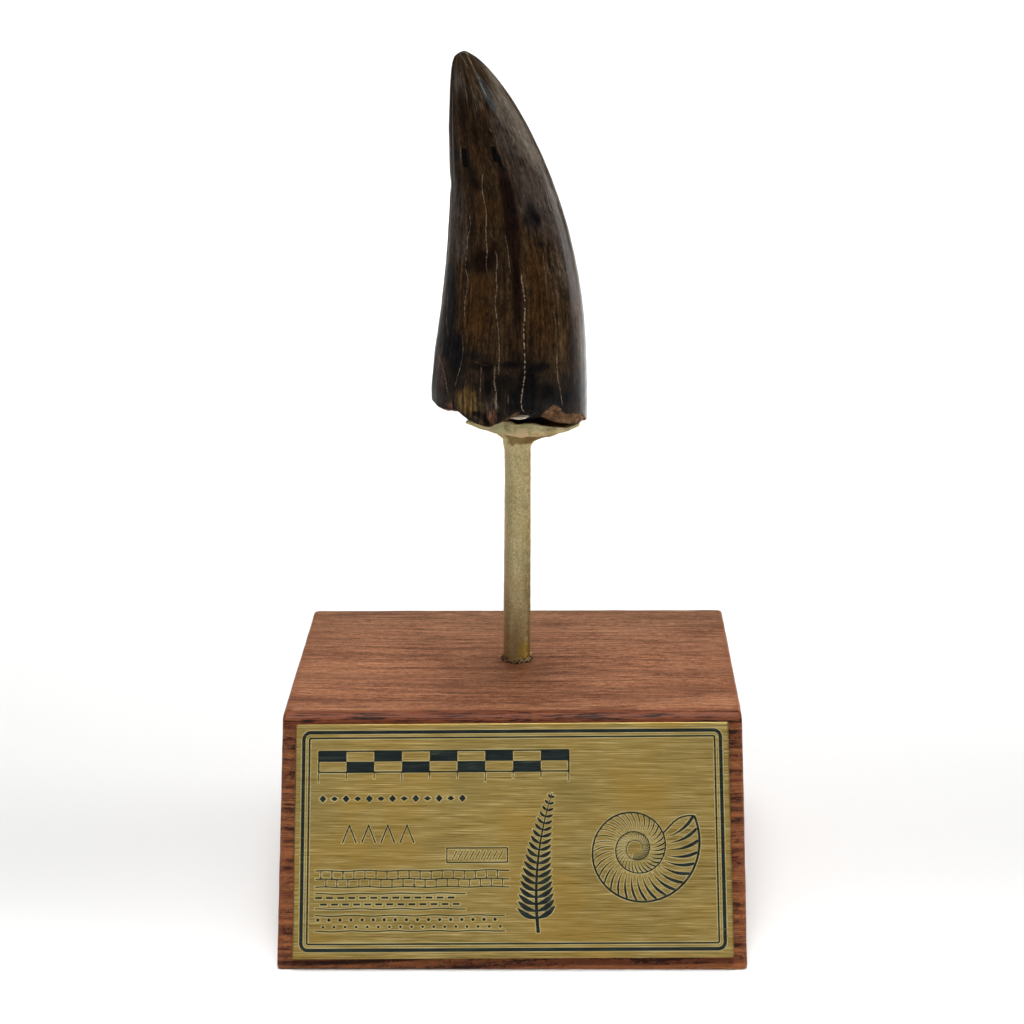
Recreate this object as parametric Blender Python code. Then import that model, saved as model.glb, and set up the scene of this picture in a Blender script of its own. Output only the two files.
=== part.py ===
# A fossil tyrannosaur tooth on a brass post, in a hardwood block with a plaque on its leaning front.
# Metres, +Z up.  The origin is the middle of the block's underside, and the plaque faces -Y.
# The named sizes below are in millimetres.  Angles around the tooth and the saddle are in degrees,
# from +X towards +Y, so 270 is the front and 180 is the cutting edge with the denticles.

import math

import bmesh
import bpy
from mathutils import Euler, Vector

MM = 0.001
GAP = 0.3                    # clearance between pieces that touch in the real object

# Block
BLOCK_WIDTH = 101.6
BLOCK_HEIGHT = 48.0
TOP_DEPTH = 66.0
FRONT_LEAN = 30.0            # degrees that the front face leans back from upright
FRONT_ROUNDING = 3.0         # radius of the edge between the top and the front
EDGE_BEVEL = 0.8
ARC_STEPS = 6

# Plaque
PLAQUE_WIDTH = 95.25
PLAQUE_HEIGHT = 50.8
PLAQUE_THICKNESS = 1.2
PLAQUE_DROP = 2.1            # from the top of the front face down to the plaque's upper edge
PLAQUE_OFFSET = 0.14         # to the right of the middle
PLAQUE_TURN = 0.3            # degrees out of square, as it was stuck on
PLAQUE_BEVEL = 0.25

# Post
POST_X, POST_Y = 0.44, 14.5   # where its axis leaves the block
POST_LEAN = 0.87             # degrees towards +X
POST_FOOT_RADIUS = 3.20
POST_TOP_RADIUS = 2.92
POST_SINK = 12.0             # length inside the block
POST_TOP_Z = 101.9
POST_CHAMFER = 0.4
POST_SIDES = 36

# Saddle: a hammered dish with the braze and the socket for the post under it
SADDLE_X = 2.45
SADDLE_HALF_LENGTH = 12.95
SADDLE_HALF_DEPTH = 6.5
SADDLE_POINTEDNESS = 1.25    # over 1 draws the two ends to points
SADDLE_WALL = 0.9
SADDLE_FLOOR_Z = 104.3       # inside, over the post
SADDLE_EDGE_Z = 104.2        # lower edge of the outer wall, at the front and the back
SADDLE_EDGE_RISE = 0.8       # extra height of that edge at the two ends
SADDLE_RIM = ((0, 105.3), (30, 105.5), (60, 106.3), (90, 106.8), (120, 107.2), (150, 106.5),
              (180, 105.8), (215, 106.6), (250, 107.6), (265, 106.9), (277, 107.1), (290, 106.5),
              (325, 105.4), (360, 105.3))
BRAZE_RADIUS = 3.75
BRAZE_Z = 101.6
UNDERSIDE_SHARE = 0.58       # of the outline, where the dish's underside meets the braze
UNDERSIDE_Z = 102.95
SOCKET_MOUTH_Z = 99.6
COLLAR_WALL = 0.25           # of the braze round the socket's mouth
SADDLE_SIDES = 48

# Tooth: (height, left edge, right edge, half thickness front to back)
CROWN = ((104.0, -18.20, 17.04, 11.8),
         (113.0, -18.22, 17.04, 11.8),
         (120.0, -17.58, 16.94, 11.5),
         (127.6, -16.47, 16.66, 11.1),
         (133.8, -15.53, 16.13, 10.7),
         (147.4, -13.81, 13.60, 9.6),
         (160.0, -12.95, 9.70, 8.2),
         (171.7, -12.99, 4.48, 6.5),
         (180.4, -12.69, -0.82, 4.6),
         (184.2, -12.38, -3.85, 3.5),
         (187.3, -11.70, -7.00, 2.0),
         (188.4, -10.60, -8.40, 0.9))
TIP = (-9.5, 188.6)          # x and height of the worn tip
EGG = 0.12                   # how much fuller the section is on the side away from the denticles
CUTTING_EDGE = 0.3           # how far the section is drawn to an edge on the side with the denticles
BOW = 2.0                    # how far the tip stands behind the base
TOOTH_SIDES = 48
CROWN_RINGS = 26
CROWN_FIRST_RING_Z = 114.5
# Broken lower edge: (angle, height of the outer surface's edge, height of the wall's own lip)
BREAK = ((0, 106.9, 106.5), (20, 108.4, 107.9), (45, 110.2, 109.2), (70, 108.4, 108.0),
         (90, 107.9, 107.6), (110, 109.5, 108.6), (135, 111.0, 110.4), (160, 109.6, 109.2),
         (180, 111.2, 110.8), (195, 111.3, 110.9), (230, 110.6, 110.2), (241, 108.8, 108.5),
         (256, 107.7, 107.5), (266, 109.1, 108.9), (279, 111.6, 110.4), (293, 110.7, 110.1),
         (305, 112.8, 109.0), (315, 110.2, 108.0), (335, 109.1, 106.9), (350, 107.3, 106.7),
         (360, 106.9, 106.5))
LIP_INSET = 0.9
WALL = 3.4                   # thickness of the tooth round its pulp hollow
WALL_SLOPE = 0.8             # how much higher the inner edge of the break is than its lip
# Pulp hollow above the break: (height, half length, half depth), both from the section's middle
HOLLOW = ((114.2, 13.6, 8.2), (117.2, 11.2, 6.6), (119.4, 7.0, 4.2))
HOLLOW_TOP_Z = 120.6

# Setting putty: (height, half length, half depth)
PUTTY_X = 1.6
PUTTY = ((105.2, 4.2, 2.2), (106.6, 6.2, 3.4), (108.1, 7.4, 5.7), (109.0, 8.4, 7.0), (110.0, 9.0, 7.2),
         (113.6, 10.6, 6.9), (116.6, 8.6, 5.2), (118.6, 4.6, 2.6))
PUTTY_FOOT_Z = 104.9
PUTTY_TOP_Z = 119.4
PUTTY_NOSE = 0.8             # bulge at the front, where the putty shows in the gap
PUTTY_NOSE_WIDTH = 16.0      # degrees
PUTTY_SIDES = 32


def material(name, hex_colour, roughness, metallic):
    """A Principled material from an sRGB colour."""
    srgb = [int(hex_colour[i:i + 2], 16) / 255 for i in (0, 2, 4)]
    linear = [c / 12.92 if c <= 0.04045 else ((c + 0.055) / 1.055) ** 2.4 for c in srgb]
    made = bpy.data.materials.new(name)
    made.use_nodes = True
    shader = made.node_tree.nodes["Principled BSDF"]
    shader.inputs["Base Color"].default_value = (*linear, 1.0)
    shader.inputs["Roughness"].default_value = roughness
    shader.inputs["Metallic"].default_value = metallic
    made.diffuse_color = (*linear, 1.0)
    return made


def add_object(name, mesh, finish, smooth_angle=35.0):
    """Turn a bmesh in millimetres into a named object in metres, smooth but for its sharp edges."""
    bmesh.ops.scale(mesh, vec=(MM, MM, MM), verts=mesh.verts)
    bmesh.ops.recalc_face_normals(mesh, faces=mesh.faces)
    data = bpy.data.meshes.new(name)
    mesh.to_mesh(data)
    mesh.free()
    data.shade_smooth()
    data.set_sharp_from_angle(angle=math.radians(smooth_angle))
    made = bpy.data.objects.new(name, data)
    bpy.context.scene.collection.objects.link(made)
    if finish:
        data.materials.append(finish)
    return made


def read_smooth(table, key, column=1):
    """Value of a table's column at a key, on a cubic through the rows that never overshoots them."""
    keys = [row[0] for row in table]
    values = [row[column] for row in table]
    key = min(max(key, keys[0]), keys[-1])
    i = max(j for j in range(len(keys) - 1) if keys[j] <= key)
    slopes = [(values[j + 1] - values[j]) / (keys[j + 1] - keys[j]) for j in range(len(keys) - 1)]

    def tangent(j):
        if j == 0 or j == len(slopes):
            return slopes[min(j, len(slopes) - 1)]
        before, after = slopes[j - 1], slopes[j]
        return 0.0 if before * after <= 0 else 2 * before * after / (before + after)

    span = keys[i + 1] - keys[i]
    t = (key - keys[i]) / span
    start, end = values[i], values[i + 1]
    return ((1 + 2 * t) * (1 - t) ** 2 * start + t * t * (3 - 2 * t) * end
            + span * (t * (1 - t) ** 2 * tangent(i) - t * t * (1 - t) * tangent(i + 1)))


def angles(count):
    return [360.0 * i / count for i in range(count)]


def skin(rings, first_pole, last_pole):
    """Closed surface through rings of equal length, with both ends brought to a point."""
    mesh = bmesh.new()
    loops = [[mesh.verts.new(point) for point in ring] for ring in rings]
    count = len(loops[0])
    for here, there in zip(loops, loops[1:]):
        for i in range(count):
            j = (i + 1) % count
            mesh.faces.new((here[i], here[j], there[j], there[i]))
    for loop, pole in ((loops[0], first_pole), (loops[-1], last_pole)):
        centre = mesh.verts.new(pole)
        for i in range(count):
            mesh.faces.new((loop[i], loop[(i + 1) % count], centre))
    return mesh


def post_axis(height):
    """Point of the leaning post's axis at a height."""
    return Vector((POST_X + (height - BLOCK_HEIGHT) * math.tan(math.radians(POST_LEAN)), POST_Y, height))


def make_block(finish):
    """Prism with a leaning front, its front top edge rounded, and a blind hole for the post."""
    lean = math.radians(FRONT_LEAN)
    bottom_depth = TOP_DEPTH + BLOCK_HEIGHT * math.tan(lean)
    back, front = bottom_depth / 2, -bottom_depth / 2
    edge_y = back - TOP_DEPTH
    turn = math.pi / 2 - lean                    # from the top's normal round to the front's
    reach = FRONT_ROUNDING * math.tan(turn / 2)  # from the sharp edge to where the rounding starts
    centre = Vector((edge_y + reach, BLOCK_HEIGHT - FRONT_ROUNDING))
    outline = [(front, 0.0), (back, 0.0), (back, BLOCK_HEIGHT)]
    for step in range(ARC_STEPS + 1):
        angle = math.pi / 2 + turn * step / ARC_STEPS
        outline.append((centre.x + FRONT_ROUNDING * math.cos(angle),
                        centre.y + FRONT_ROUNDING * math.sin(angle)))
    mesh = bmesh.new()
    side = mesh.faces.new([mesh.verts.new((-BLOCK_WIDTH / 2, y, z)) for y, z in outline])
    grown = bmesh.ops.extrude_face_region(mesh, geom=[side])["geom"]
    moved = [item for item in grown if isinstance(item, bmesh.types.BMVert)]
    bmesh.ops.translate(mesh, vec=(BLOCK_WIDTH, 0, 0), verts=moved)
    block = add_object("base_block", mesh, finish)

    bevel = block.modifiers.new("edges", "BEVEL")
    bevel.width = EDGE_BEVEL * MM
    bevel.segments = 2
    bevel.limit_method = "ANGLE"
    bevel.angle_limit = math.radians(40)

    drill = bmesh.new()
    radius = POST_FOOT_RADIUS + GAP
    depth = POST_SINK + GAP
    bmesh.ops.create_cone(drill, cap_ends=True, segments=POST_SIDES, radius1=radius, radius2=radius,
                          depth=2 * depth)
    cutter = add_object("post_hole_cutter", drill, None)
    cutter.location = post_axis(BLOCK_HEIGHT) * MM
    cutter.rotation_euler = Euler((0, math.radians(POST_LEAN), 0))
    cutter.hide_render = True
    cutter.display_type = "WIRE"
    cut = block.modifiers.new("post_hole", "BOOLEAN")
    cut.operation = "DIFFERENCE"
    cut.object = cutter
    return block


def make_plaque(finish):
    """Thin plate, lying on the leaning front and turned a little out of square."""
    lean = math.radians(FRONT_LEAN)
    mesh = bmesh.new()
    bmesh.ops.create_cube(mesh, size=1.0)
    bmesh.ops.scale(mesh, vec=(PLAQUE_WIDTH, PLAQUE_HEIGHT, PLAQUE_THICKNESS), verts=mesh.verts)
    bmesh.ops.bevel(mesh, geom=mesh.edges[:], offset=PLAQUE_BEVEL, segments=2, affect="EDGES",
                    profile=0.5)
    plaque = add_object("plaque", mesh, finish)
    edge_y = (TOP_DEPTH + BLOCK_HEIGHT * math.tan(lean)) / 2 - TOP_DEPTH
    down = Vector((0, -math.sin(lean), -math.cos(lean)))
    out = Vector((0, -math.cos(lean), math.sin(lean)))
    middle = (Vector((PLAQUE_OFFSET, edge_y, BLOCK_HEIGHT))
              + down * (PLAQUE_DROP + PLAQUE_HEIGHT / 2) + out * (GAP + PLAQUE_THICKNESS / 2))
    plaque.location = middle * MM
    plaque.rotation_mode = "ZYX"
    plaque.rotation_euler = (math.pi / 2 - lean, 0, math.radians(PLAQUE_TURN))
    return plaque


def make_post(finish):
    """Round rod with chamfered ends, a little thinner at the top, turned about a leaning axis."""
    foot_z = BLOCK_HEIGHT - POST_SINK
    profile = ((foot_z, POST_FOOT_RADIUS - POST_CHAMFER),
               (foot_z + POST_CHAMFER, POST_FOOT_RADIUS),
               (BLOCK_HEIGHT, POST_FOOT_RADIUS),
               (POST_TOP_Z - POST_CHAMFER, POST_TOP_RADIUS),
               (POST_TOP_Z, POST_TOP_RADIUS - POST_CHAMFER))
    rings = []
    for height, radius in profile:
        axis = post_axis(height)
        rings.append([axis + Vector((radius * math.cos(math.radians(a)),
                                     radius * math.sin(math.radians(a)), 0))
                      for a in angles(POST_SIDES)])
    return add_object("post", skin(rings, post_axis(foot_z), post_axis(POST_TOP_Z)), finish)


def saddle_point(angle, share, height):
    """Point of the dish at a share of its outline, whose two ends are drawn to points."""
    c, s = math.cos(math.radians(angle)), math.sin(math.radians(angle))
    return Vector((SADDLE_X + SADDLE_HALF_LENGTH * share * c,
                   POST_Y + SADDLE_HALF_DEPTH * share * math.copysign(abs(s) ** SADDLE_POINTEDNESS, s),
                   height))


def make_saddle(finish):
    """Dish with a wavy rim, on a collar of braze whose socket takes the post's top."""
    def round_post(radius, height):
        axis = post_axis(height)
        return [axis + Vector((radius * math.cos(math.radians(a)), radius * math.sin(math.radians(a)), 0))
                for a in angles(SADDLE_SIDES)]

    def edge_z(angle):
        return SADDLE_EDGE_Z + SADDLE_EDGE_RISE * math.cos(math.radians(angle)) ** 2

    def dish_ring(share, lift):
        """Ring at a share of the outline, lifted from the lower edge (0) to the rim (1)."""
        return [saddle_point(a, share, edge_z(a) + lift * (read_smooth(SADDLE_RIM, a) - edge_z(a)))
                for a in angles(SADDLE_SIDES)]

    socket_radius = POST_TOP_RADIUS + GAP
    wall_share = SADDLE_WALL / SADDLE_HALF_DEPTH
    floor = SADDLE_FLOOR_Z
    rings = [round_post(socket_radius, POST_TOP_Z + GAP),
             round_post(socket_radius, SOCKET_MOUTH_Z),
             round_post(socket_radius + COLLAR_WALL, SOCKET_MOUTH_Z),
             round_post(BRAZE_RADIUS, BRAZE_Z),
             [saddle_point(a, UNDERSIDE_SHARE, UNDERSIDE_Z) for a in angles(SADDLE_SIDES)],
             [saddle_point(a, 0.80, edge_z(a) - 0.35) for a in angles(SADDLE_SIDES)],
             dish_ring(0.95, 0.02),
             dish_ring(1.0, 0.35),
             dish_ring(1.0, 0.9),
             dish_ring(1.0 - 0.3 * wall_share, 1.0),
             dish_ring(1.0 - wall_share, 0.9),
             [saddle_point(a, 0.72, floor + 0.35) for a in angles(SADDLE_SIDES)],
             [saddle_point(a, 0.40, floor) for a in angles(SADDLE_SIDES)]]
    mesh = skin(rings, post_axis(POST_TOP_Z + GAP), saddle_point(0, 0, floor))
    return add_object("saddle", mesh, finish)


def bow_y(height):
    """How far back the crown's middle stands at a height: a parabola from the base to the tip."""
    return BOW * ((height - CROWN[0][0]) / (TIP[1] - CROWN[0][0])) ** 2


def crown_point(angle, height, inset=0.0):
    """Point of the crown's egg-shaped section at a height, moved in towards its middle by inset."""
    left, right, half = (read_smooth(CROWN, height, column) for column in (1, 2, 3))
    c, s = math.cos(math.radians(angle)), math.sin(math.radians(angle))
    depth = math.copysign(abs(s) ** (1 + CUTTING_EDGE * (1 - c) / 2), s) * (1 + EGG * c)
    return Vector(((left + right) / 2 + ((right - left) / 2 - inset) * c,
                   POST_Y + bow_y(height) + (half - inset) * depth, height))


def oval(x, half_length, half_depth, height, count):
    return [Vector((x + half_length * math.cos(math.radians(a)),
                    POST_Y + half_depth * math.sin(math.radians(a)), height)) for a in angles(count)]


def make_tooth(finish):
    """Curved crown with a ragged, chipped lower edge and the pulp hollow inside it, as one skin."""
    middle_x = (CROWN[0][1] + CROWN[0][2]) / 2
    rings = [oval(middle_x, half_length, half_depth, height, TOOTH_SIDES)
             for height, half_length, half_depth in reversed(HOLLOW)]
    lip = {a: read_smooth(BREAK, a, 2) for a in angles(TOOTH_SIDES)}
    edge = {a: read_smooth(BREAK, a, 1) for a in angles(TOOTH_SIDES)}
    rings.append([crown_point(a, lip[a] + WALL_SLOPE, WALL) for a in lip])
    rings.append([crown_point(a, lip[a], LIP_INSET) for a in lip])
    rings.append([crown_point(a, edge[a]) for a in edge])
    top_z = CROWN[-1][0]
    for step in range(CROWN_RINGS):
        share = 1 - (1 - step / (CROWN_RINGS - 1)) ** 1.6       # closer together towards the tip
        height = CROWN_FIRST_RING_Z + (top_z - CROWN_FIRST_RING_Z) * share
        rings.append([crown_point(a, height) for a in angles(TOOTH_SIDES)])
    ceiling = Vector((middle_x, POST_Y, HOLLOW_TOP_Z))
    tip = Vector((TIP[0], POST_Y + BOW, TIP[1]))
    return add_object("tooth", skin(rings, ceiling, tip), finish)


def make_putty(finish):
    """Lump that fills the dish and the hollow between them, with a bulge at the front."""
    rings = []
    for height, half_length, half_depth in PUTTY:
        ring = oval(PUTTY_X, half_length, half_depth, height, PUTTY_SIDES)
        if height in (108.1, 109.0, 110.0):
            for point, a in zip(ring, angles(PUTTY_SIDES)):
                point.y -= PUTTY_NOSE * math.exp(-((a - 270) / PUTTY_NOSE_WIDTH) ** 2)
        rings.append(ring)
    mesh = skin(rings, Vector((PUTTY_X, POST_Y, PUTTY_FOOT_Z)), Vector((PUTTY_X, POST_Y, PUTTY_TOP_Z)))
    return add_object("setting_putty", mesh, finish)


for old in list(bpy.data.objects):
    bpy.data.objects.remove(old, do_unlink=True)

stand = bpy.data.objects.new("tooth_on_stand", None)
bpy.context.scene.collection.objects.link(stand)

pieces = (make_block(material("oiled_mahogany", "86503a", 0.5, 0.0)),
          make_plaque(material("brushed_brass", "9c8345", 0.4, 1.0)),
          make_post(material("aged_brass", "a08c5c", 0.5, 1.0)),
          make_saddle(material("hammered_brass", "a5935f", 0.5, 1.0)),
          make_tooth(material("fossil_enamel", "2e2118", 0.3, 0.0)),
          make_putty(material("setting_putty", "b7a992", 0.6, 0.0)))
for piece in pieces:
    piece.parent = stand
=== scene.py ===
import functools
import math

import bpy
import numpy as np
from mathutils import Matrix, Vector


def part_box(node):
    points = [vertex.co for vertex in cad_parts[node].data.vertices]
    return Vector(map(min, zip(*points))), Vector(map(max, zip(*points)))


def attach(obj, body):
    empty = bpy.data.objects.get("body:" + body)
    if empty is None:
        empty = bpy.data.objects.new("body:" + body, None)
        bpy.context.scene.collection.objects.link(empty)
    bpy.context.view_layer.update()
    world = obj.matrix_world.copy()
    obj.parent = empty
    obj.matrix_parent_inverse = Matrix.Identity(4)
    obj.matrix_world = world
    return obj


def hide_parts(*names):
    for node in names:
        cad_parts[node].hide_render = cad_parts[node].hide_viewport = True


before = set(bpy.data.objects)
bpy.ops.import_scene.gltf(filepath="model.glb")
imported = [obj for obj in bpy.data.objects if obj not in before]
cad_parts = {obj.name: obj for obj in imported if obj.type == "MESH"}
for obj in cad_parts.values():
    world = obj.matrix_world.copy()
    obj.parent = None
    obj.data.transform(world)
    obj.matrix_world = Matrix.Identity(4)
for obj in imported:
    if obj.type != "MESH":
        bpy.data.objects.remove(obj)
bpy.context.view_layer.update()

# A fossil tooth on its stand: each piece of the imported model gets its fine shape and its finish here.
# Lengths are in millimetres. Angles around the tooth, the saddle and the post are in degrees from +X
# towards +Y, so 270 is the front and 180 is the tooth's cutting edge.

mm = 0.001

# the setting that the second word of a node's kind stands for
mainSetting = {"Math": "operation", "VectorMath": "operation", "MapRange": "interpolation_type",
               "Mix": "data_type", "TexNoise": "noise_dimensions", "TexVoronoi": "feature",
               "Attribute": "attribute_name"}


def toLinear(hexCode):
    # sRGB to linear: c / 12.92 where c is small, else (c + 0.055) / 1.055 to the power 2.4
    channels = np.array([int(hexCode[i:i + 2], 16) for i in (0, 2, 4)]) / 255
    linear = np.where(channels <= 0.04045, channels / 12.92, ((channels + 0.055) / 1.055) ** 2.4)
    return (*linear.tolist(), 1.0)


def fill(tree, socket, value):
    # a socket is linked, a hex colour turned to linear, a number set, and None leaves the default
    if isinstance(value, bpy.types.NodeSocket):
        tree.links.new(value, socket)
    elif value is not None:
        socket.default_value = toLinear(value) if isinstance(value, str) else value


def addNode(tree, kind, *inputs, out=None, stops=(), curve=(), **settings):
    # one node, such as "Math ADD", with its live inputs in their order; stops are a colour ramp's
    # (place, hex colour) pairs and curve a float curve's points; gives its first live output or out
    kind, *word = kind.split()
    node = tree.nodes.new("ShaderNode" + kind)
    for key, value in [(mainSetting[kind], item) for item in word] + list(settings.items()):
        setattr(node, key, value)
    if stops:
        elements = node.color_ramp.elements
        elements.remove(elements[1])
        elements[0].position, elements[0].color = stops[0][0], toLinear(stops[0][1])
        for place, hexCode in stops[1:]:
            elements.new(place).color = toLinear(hexCode)
    if curve:
        points = node.mapping.curves[0].points
        points[0].location, points[1].location = curve[0], curve[-1]
        for place in curve[1:-1]:
            points.new(*place)
        node.mapping.update()
    for socket, value in zip([socket for socket in node.inputs if socket.enabled], inputs):
        fill(tree, socket, value)
    return node.outputs[out] if out else next(socket for socket in node.outputs if socket.enabled)


def startMaterial(name):
    # a new material, and the function that adds a node to it
    material = bpy.data.materials.new(name)
    material.use_nodes = True
    return material, functools.partial(addNode, material.node_tree)


def endMaterial(material, inputs, height=None, strength=0.3, distance=0.0001):
    # puts values and sockets on the shader, with a bump where a height is given
    tree = material.node_tree
    if height:
        inputs["Normal"] = addNode(tree, "Bump", strength, distance, None, height)
    for key, value in inputs.items():
        fill(tree, tree.nodes["Principled BSDF"].inputs[key], value)
    return material


def weighted(add, *parts):
    # the sum of each part times its share
    total = 0.0
    for part, share in parts:
        total = add("Math MULTIPLY_ADD", part, share, total)
    return total


def smoothRead(keys, values, places):
    # a cubic through the keys' values that never overshoots: its tangents are harmonic means of slopes
    keys, values, places = (np.asarray(item, float) for item in (keys, values, places))
    spans = np.diff(keys)
    slopes = np.diff(values, axis=0) / spans.reshape(-1, *[1] * (values.ndim - 1))
    product = slopes[:-1] * slopes[1:]
    total = np.where(product > 0, slopes[:-1] + slopes[1:], 1)
    tangents = np.concatenate([slopes[:1], np.where(product > 0, 2 * product / total, 0), slopes[-1:]])
    places = np.clip(places, keys[0], keys[-1])
    index = np.clip(np.searchsorted(keys, places, side="right") - 1, 0, len(spans) - 1)
    shape = places.shape + (1,) * (values.ndim - 1)
    t = ((places - keys[index]) / spans[index]).reshape(shape)
    span = spans[index].reshape(shape)
    return ((1 + 2 * t) * (1 - t) ** 2 * values[index] + t * t * (3 - 2 * t) * values[index + 1]
            + span * (t * (1 - t) ** 2 * tangents[index] - t * t * (1 - t) * tangents[index + 1]))


def smoothStep(low, high, value):
    # 0 below low, 1 above high, and a cubic between
    t = np.clip((value - low) / (high - low), 0, 1)
    return t * t * (3 - 2 * t)


def bell(value, middle, width, power=2):
    # e to minus the distance from the middle, in widths, to a power
    return np.exp(-np.abs((value - middle) / width) ** power)


def softSpots(rows, angle, depth, power=2):
    # a sum of bells in angle and depth: angle, depth, half width, half height, strength
    total = np.zeros(np.broadcast(angle, depth).shape)
    for atAngle, atDepth, halfWidth, halfHeight, strength in rows:
        aside = (angle - atAngle + 180) % 360 - 180
        total += strength * bell(aside, 0, halfWidth, power) * bell(depth, atDepth, halfHeight, power)
    return total


def waves(points, size, seed, count=16):
    # a smooth random field: a sum of sines with seeded directions and phases and lengths round size
    rng = np.random.default_rng(seed)
    ways = rng.normal(size=(count, 3))
    ways *= (2 * math.pi / (size * rng.uniform(0.7, 1.5, count))
             / np.linalg.norm(ways, axis=1))[:, None]
    return np.sin(points @ ways.T + rng.uniform(0, 2 * math.pi, count)).sum(-1) / math.sqrt(count / 2)


def oval(angle, across, along, height, middle=(0, 0)):
    # points of an oval: its middle plus the half lengths times the angle's cosine and sine
    turn = np.radians(angle)
    return np.stack(np.broadcast_arrays(middle[0] + across * np.cos(turn),
                                        middle[1] + along * np.sin(turn), height), -1)


def gridNormals(grid):
    # outward direction of a grid whose rows are closed rings: the cross product of its two tangents
    normal = np.cross(np.roll(grid, -1, 1) - np.roll(grid, 1, 1), np.gradient(grid, axis=0))
    return normal / np.maximum(np.linalg.norm(normal, axis=-1, keepdims=True), 1e-9)


def gridFaces(number):
    # quads between the numbered points of each ring, round the ring, and those of the ring after it
    after = np.roll(number, -1, 1)
    return np.stack([number[:-1], after[:-1], after[1:], number[1:]], -1).reshape(-1, 4).tolist()


def closedSkin(grid, *poles):
    # a surface of rings (rows), with a fan onto a pole at each end
    number = np.arange(grid[..., 0].size).reshape(grid.shape[:2])
    after = np.roll(number, -1, 1)
    fans = [np.stack([after[0], number[0], 0 * after[0] + number.size], -1),
            np.stack([number[-1], after[-1], 0 * after[0] + number.size + 1], -1)]
    return (np.concatenate([grid.reshape(-1, 3), np.asarray(poles, float)]),
            gridFaces(number) + np.concatenate(fans).tolist())


def closedTubes(tubes):
    # one mesh of many short tubes: each one's rings joined by quads, the first and the last ring closed
    verts, faces, start = [], [], 0
    for rings in tubes:
        number = start + np.arange(rings[..., 0].size).reshape(rings.shape[:2])
        faces += gridFaces(number) + [number[0, ::-1].tolist(), number[-1].tolist()]
        verts.append(rings.reshape(-1, 3))
        start += number.size
    return np.concatenate(verts), faces


def putInScene(name, data):
    item = bpy.data.objects.new(name, data)
    bpy.context.scene.collection.objects.link(item)
    return item


def addPiece(name, skin, finish, node=None, sharp=None, values=None, corners=None):
    # a mesh at the origin from points in millimetres, with its UV corners and its values per point,
    # which are 0 at any point left over
    verts, faces = skin
    mesh = bpy.data.meshes.new(name)
    mesh.from_pydata((verts * mm).tolist(), [], faces)
    mesh.shade_smooth()
    if sharp:
        mesh.set_sharp_from_angle(angle=math.radians(sharp))
    if corners is not None:
        mesh.uv_layers.new(name="UVMap").uv.foreach_set("vector", corners.astype(np.float32).ravel())
    for key, value in (values or {}).items():
        kind, field = ("FLOAT_VECTOR", "vector") if value.shape == verts.shape else ("FLOAT", "value")
        full = value.ravel() if field == "vector" else np.pad(value.ravel(), (0, len(verts) - value.size))
        mesh.attributes.new(key, kind, "POINT").data.foreach_set(field, full.astype(np.float32))
    mesh.materials.append(finish)
    piece = putInScene(name, mesh)
    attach(piece, "root")
    if node:
        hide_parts(node)
    print("made", name, "from", len(mesh.polygons), "faces")


# The view and the light

view = {
    "place": (12.1, -467.8, 240.2),
    "down": 17.93, "left": 1.47, "lean": -0.69,   # degrees
    "lens": 77.34, "sensor": 36,                  # mm
}


def makeCamera():
    # turned by the lean about its own line of sight, tilted down from the level and turned to the left
    down, left, lean = (math.radians(view[key]) for key in ("down", "left", "lean"))
    camera = putInScene("camera", bpy.data.cameras.new("camera"))
    camera.data.lens, camera.data.sensor_width, camera.data.clip_start = view["lens"], view["sensor"], 0.02
    camera.matrix_world = (Matrix.Translation(Vector(view["place"]) * mm) @ Matrix.Rotation(left, 4, "Z")
                           @ Matrix.Rotation(math.pi / 2 - down, 4, "X") @ Matrix.Rotation(lean, 4, "Z"))
    bpy.context.scene.camera = camera


studio = {
    "floorReach": 4.0,                # metres
    "floorColour": "f4f4f3",
    "fill": 0.16,                     # strength of the soft light from all round
    "aim": (0, 0, 0.11),              # metres; lamps named for the floor aim straight down instead
    "lamps": (                        # name, place and size in metres, watts, spread in degrees
        ("overhead", (0.0, 0.06, 1.00), (0.60, 0.50), 0.50, 36),
        ("rightBox", (0.85, 0.0, 0.50), (0.80, 0.90), 0.25, 36),
        ("rightScreen", (1.11, 0.45, 0.22), (0.76, 0.44), 0.60, 70),
        ("rightFloor", (0.38, 0.36, 0.60), (0.54, 0.32), 0.86, 26),
        ("nearFloor", (0.0, -0.145, 0.55), (0.58, 0.14), 0.44, 26),
        ("frontTop", (-0.05, -0.80, 0.85), (1.0, 0.7), 0.185, 30),
        ("midFloor", (0.22, 0.68, 1.10), (1.5, 0.8), 4.6, 54),
        ("backFloor", (0.45, 2.20, 1.90), (3.6, 2.4), 41.0, 90),
    ),
}


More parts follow.
